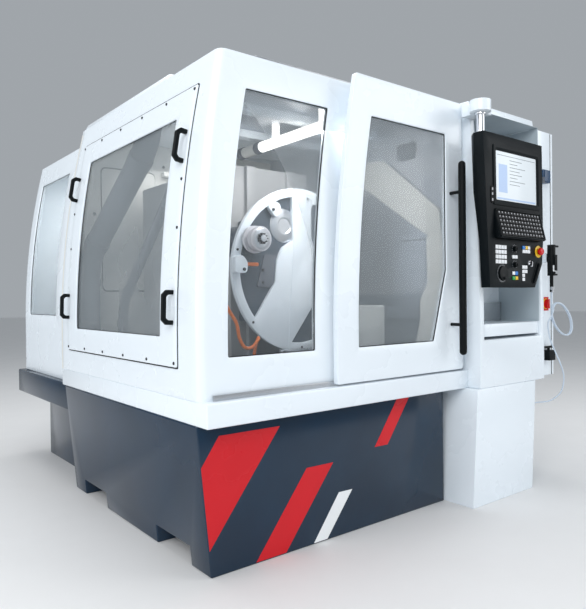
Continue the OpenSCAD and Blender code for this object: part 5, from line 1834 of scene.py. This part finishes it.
@dataclass
class PanelTrim(PanelFace):
    """Collar of the stop button, key lock, tick marks of the dials and the rim of the grip slot.

    Args:
        stop_share: Place of the stop button.
        collar: Radius and height of each point of the stop button's collar.
        collar_t: Thickness of the collar.
        lock_share: Place of the key lock.
        lock: Radius and height of each point of the key lock.
        bow: Spans of the key's bow, from the lock.
        knob_shares: Places of the two override knobs.
        knob_ticks: Inner and outer radius of the knobs' tick marks.
        knob_sweep: First and last angle of the marks, in degrees, and how many there are.
        jog_share: Place of the jog wheel.
        jog_ticks: Inner and outer radius of the jog wheel's tick marks.
        jog_count: Number of the jog wheel's marks.
        tick_half: Half the depth and half the width of a tick mark.
        slot_shares: Ends of the grip slot.
        slot_r: Radius of the grip slot.
        slot_rim: Radius of the rim round the slot, and how far its middle stands out.
        slot_steps: Points on each end of the rim.
    """

    stop_share: Span = (0.893, 0.25)
    collar: Outline = ((0.013, 0), (0.031, 0), (0.031, 0.002), (0.029, 0.003), (0.013, 0.003))
    collar_t: float = 0.0005
    lock_share: Span = (0.704, 0.169)
    lock: Outline = ((0, 0), (0.012, 0), (0.012, 0.004), (0.01, 0.006), (0.005, 0.006), (0, 0.004))
    bow: tuple[Span, Span, Span] = ((-0.002, 0.002), (-0.022, -0.004), (-0.02, 0.006))
    knob_shares: Sequence[Span] = ((0.44, 0.257), (0.44, 0.152))
    knob_ticks: Span = (0.018, 0.023)
    knob_sweep: tuple[float, float, int] = (-40.0, 220.0, 9)
    jog_share: Span = (0.215, 0.092)
    jog_ticks: Span = (0.038, 0.044)
    jog_count: int = 36
    tick_half: Span = (0.0006, 0.0008)
    slot_shares: Sequence[Span] = ((0.791, 0.043), (0.885, 0.156))
    slot_r: float = 0.014
    slot_rim: Span = (0.003, 0.0005)
    slot_steps: int = 13

    def build(self) -> None:
        """Makes the collar, the lock, the marks and the rim."""
        collar = to_front(lathe(self.collar), self.at(self.stop_share))
        self.put("stop_collar", collar, self.paint.yellow, "signal_red", wall=self.collar_t)
        lock = to_front(lathe(self.lock), self.at(self.lock_share))
        bow = box(*self.bow).moved(self.at(self.lock_share))
        self.put("key_lock", join([lock, bow]), self.paint.chrome, "fixings")
        angles = np.radians(np.linspace(*self.knob_sweep))
        ring = join([self.tick(a, self.knob_ticks) for a in angles])
        ticks = [ring.moved(self.at(share)) for share in self.knob_shares]
        self.put("knob_ticks", join(ticks), self.paint.legend, "key_pale")
        around = np.linspace(0, 2 * math.pi, self.jog_count, endpoint=False)
        dial = join([self.tick(a, self.jog_ticks) for a in around]).moved(self.at(self.jog_share))
        self.put("dial_ticks", dial, self.paint.legend, "key_pale")
        low, high = (self.at(share) for share in self.slot_shares)
        way = (high - low) / np.linalg.norm(high - low)
        across = np.array([-way[2], 0.0, way[0]])
        t = np.linspace(0, math.pi, self.slot_steps)[:, None]
        half = self.slot_r * (np.cos(t) * across + np.sin(t) * way)
        rim, out = self.slot_rim
        path = np.concatenate([high + half, low - half]) - np.array([0, out, 0])
        self.put("slot_rim", tube(path, rim, sides=8, closed=True), self.paint.black, "black_plastic")

    def tick(self, angle: float, radii: Span) -> Shape:
        """A thin radial mark on the face."""
        c, s = math.cos(angle), math.sin(angle)
        turn = np.array([[c, 0.0, -s], [0.0, 1.0, 0.0], [s, 0.0, c]])
        deep, wide = self.tick_half
        return box(radii, (-deep, deep), (-wide, wide)).turned(turn)


@dataclass
class Cabinet(Assembly):
    """Cabinet at the right with its plinth and what hangs on the pod's front.

    Args:
        gap_shade: Reach of the black strip of painted shade beside the cover to each side, in front and
            behind, and its top gap.
        plate: Half width and half height of the mains switch's plate.
        plate_out: How far the plate stands out.
        ring: Radius, height and edge of the yellow ring on the plate.
        ring_sides: Points round the ring.
        ring_out: How far the ring's foot stands out.
        lid_in: How far the socket's lid is smaller than its box.
        lid_out: How far the lid stands out.
        hinge: How far the socket's hinge reaches past the box, along it, in front and up.
        gun_r: Radius of the air gun's body.
        label: Foot and head of the label on the air gun.
        label_arc: First and last angle of the label, in degrees, and its points.
        label_out: How far the label stands out, and its thickness.
        lever: Spans of the gun's lever, from its axis.
        coupling: Radius and height of each point of the gun's coupling.
        coupling_sides: Points round the coupling.
    """

    gap_shade: tuple[float, float, float, float] = (0.003, 0.0008, 0.004, 0.004)
    plate: Span = (0.033, 0.04)
    plate_out: float = 0.0035
    ring: Point = (0.031, 0.004, 0.001)
    ring_sides: int = 48
    ring_out: float = 0.003
    lid_in: float = 0.006
    lid_out: float = 0.004
    hinge: tuple[float, float, float, float] = (0.004, 0.012, 0.002, 0.03)
    gun_r: float = 0.022
    label: Span = (1.185, 1.22)
    label_arc: tuple[float, float, int] = (-140.0, -30.0, 12)
    label_out: Span = (0.0006, 0.0005)
    lever: tuple[Span, Span, Span] = ((-0.03, 0.01), (-0.028, -0.02), (1.162, 1.172))
    coupling: Outline = ((0, 0), (0.0085, 0), (0.0085, 0.012), (0.0115, 0.014), (0.0115, 0.03), (0, 0.03))
    coupling_sides: int = 24

    def build(self) -> None:
        """Dresses the cabinet."""
        self.soften(self.paint.white, Edge.EASED, "cabinet", "cabinet_plinth", "cabinet_cover")
        self.soften(self.paint.socket_blue, Edge.ROUND, "socket_box")
        self.soften(self.paint.black, Edge.SOFT, "air_regulator")
        self.soften(self.paint.red, Edge.SOFT, "mains_switch")
        self.soften(self.paint.black, Edge.SOFT, "air_gun")
        # A black strip of painted shade in the gap at the cover's left edge.
        x, y, z = self.bench.low("cabinet_cover")
        half, front, back, gap = self.gap_shade
        top = self.bench.high("cabinet_cover")[2] - gap
        gap_shade = box((x - half, x + half), (y - front, y + back), (z, top))
        self.add("cover_gap_shade", gap_shade, self.paint.seal, "black_plastic")
        self.switch(y)
        self.gun()
        self.socket()

    def switch(self, front: float) -> None:
        """Red plate and yellow ring behind the mains switch, on the pod's front."""
        x, _, z = self.bench.middle("mains_switch")
        w, h = self.plate
        plate = box((x - w, x + w), (front - self.plate_out, front + SUNK), (z - h, z + h))
        self.add("mains_plate", plate, self.paint.red, "signal_red", bevel=Edge.KEEN)
        ring = to_front(stud(*self.ring, self.ring_sides), (x, front - self.ring_out, z))
        self.add("mains_ring", ring, self.paint.yellow, "signal_red")

    def gun(self) -> None:
        """Label, lever and coupling of the air gun."""
        low, high = self.bench.low("air_gun"), self.bench.high("air_gun")
        axis = np.array([low[0] + self.gun_r, (low[1] + high[1]) / 2, 0.0])
        a = np.radians(np.linspace(*self.label_arc))[None, :]
        z = np.array(self.label)[:, None]
        out, thick = self.label_out
        r = self.gun_r + out
        patch = np.stack([r * np.cos(a) + 0 * z, r * np.sin(a) + 0 * z, z + 0 * a], -1)
        self.add("gun_label", grid(patch).moved(axis), self.paint.pale_keys, "key_pale", wall=thick)
        lever = box(*self.lever).moved(axis)
        self.add("gun_lever", lever, self.paint.black, "black_plastic", bevel=Edge.THIN)
        nut = lathe(self.coupling, self.coupling_sides).moved(axis + np.array([0, 0, low[2]]))
        self.add("gun_coupling", nut, self.paint.steel, "fixings")

    def socket(self) -> None:
        """Lid and hinge of the blue socket."""
        (x0, y0, z0), (x1, y1, z1) = self.bench.low("socket_box"), self.bench.high("socket_box")
        inset = self.lid_in
        lid = box((x0 + inset, x1 - inset), (y0 - self.lid_out, y0 + SUNK), (z0 + inset, z1 - inset))
        self.add("socket_lid", lid, self.paint.socket_blue, "socket_blue", bevel=Edge.THIN)
        past, reach, out, up = self.hinge
        hinge = box((x0 - past, x0 + reach), (y0 - out, y1), (z0 - past, z0 + up))
        self.add("socket_hinge", hinge, self.paint.duct, "black_plastic", bevel=Edge.SOFT)


PANEL_PARTS = (PanelHousing, Display, Keyboard, ColouredKeys, PanelTrim)
ASSEMBLIES = (AirLine, Base, Enclosure, SlidingDoor, WorkSpace, GrindingHead, Console, *PANEL_PARTS, Cabinet)


def main() -> None:
    """Builds the sub-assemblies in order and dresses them."""
    logging.basicConfig(level=logging.INFO, format="%(name)s: %(message)s")
    bpy.ops.wm.read_factory_settings(use_empty=True)
    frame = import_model()
    bench = Bench(frame)
    finishes = Finishes()
    studio = Studio()
    studio.camera()
    for assembly in ASSEMBLIES:
        LOG.info("building %s", assembly.__name__)
        assembly(bench, finishes).build()
    studio.floor(finishes.groups)
    studio.lights()
    bpy.context.scene.view_settings.view_transform = "Standard"


if __name__ == "__main__":
    main()
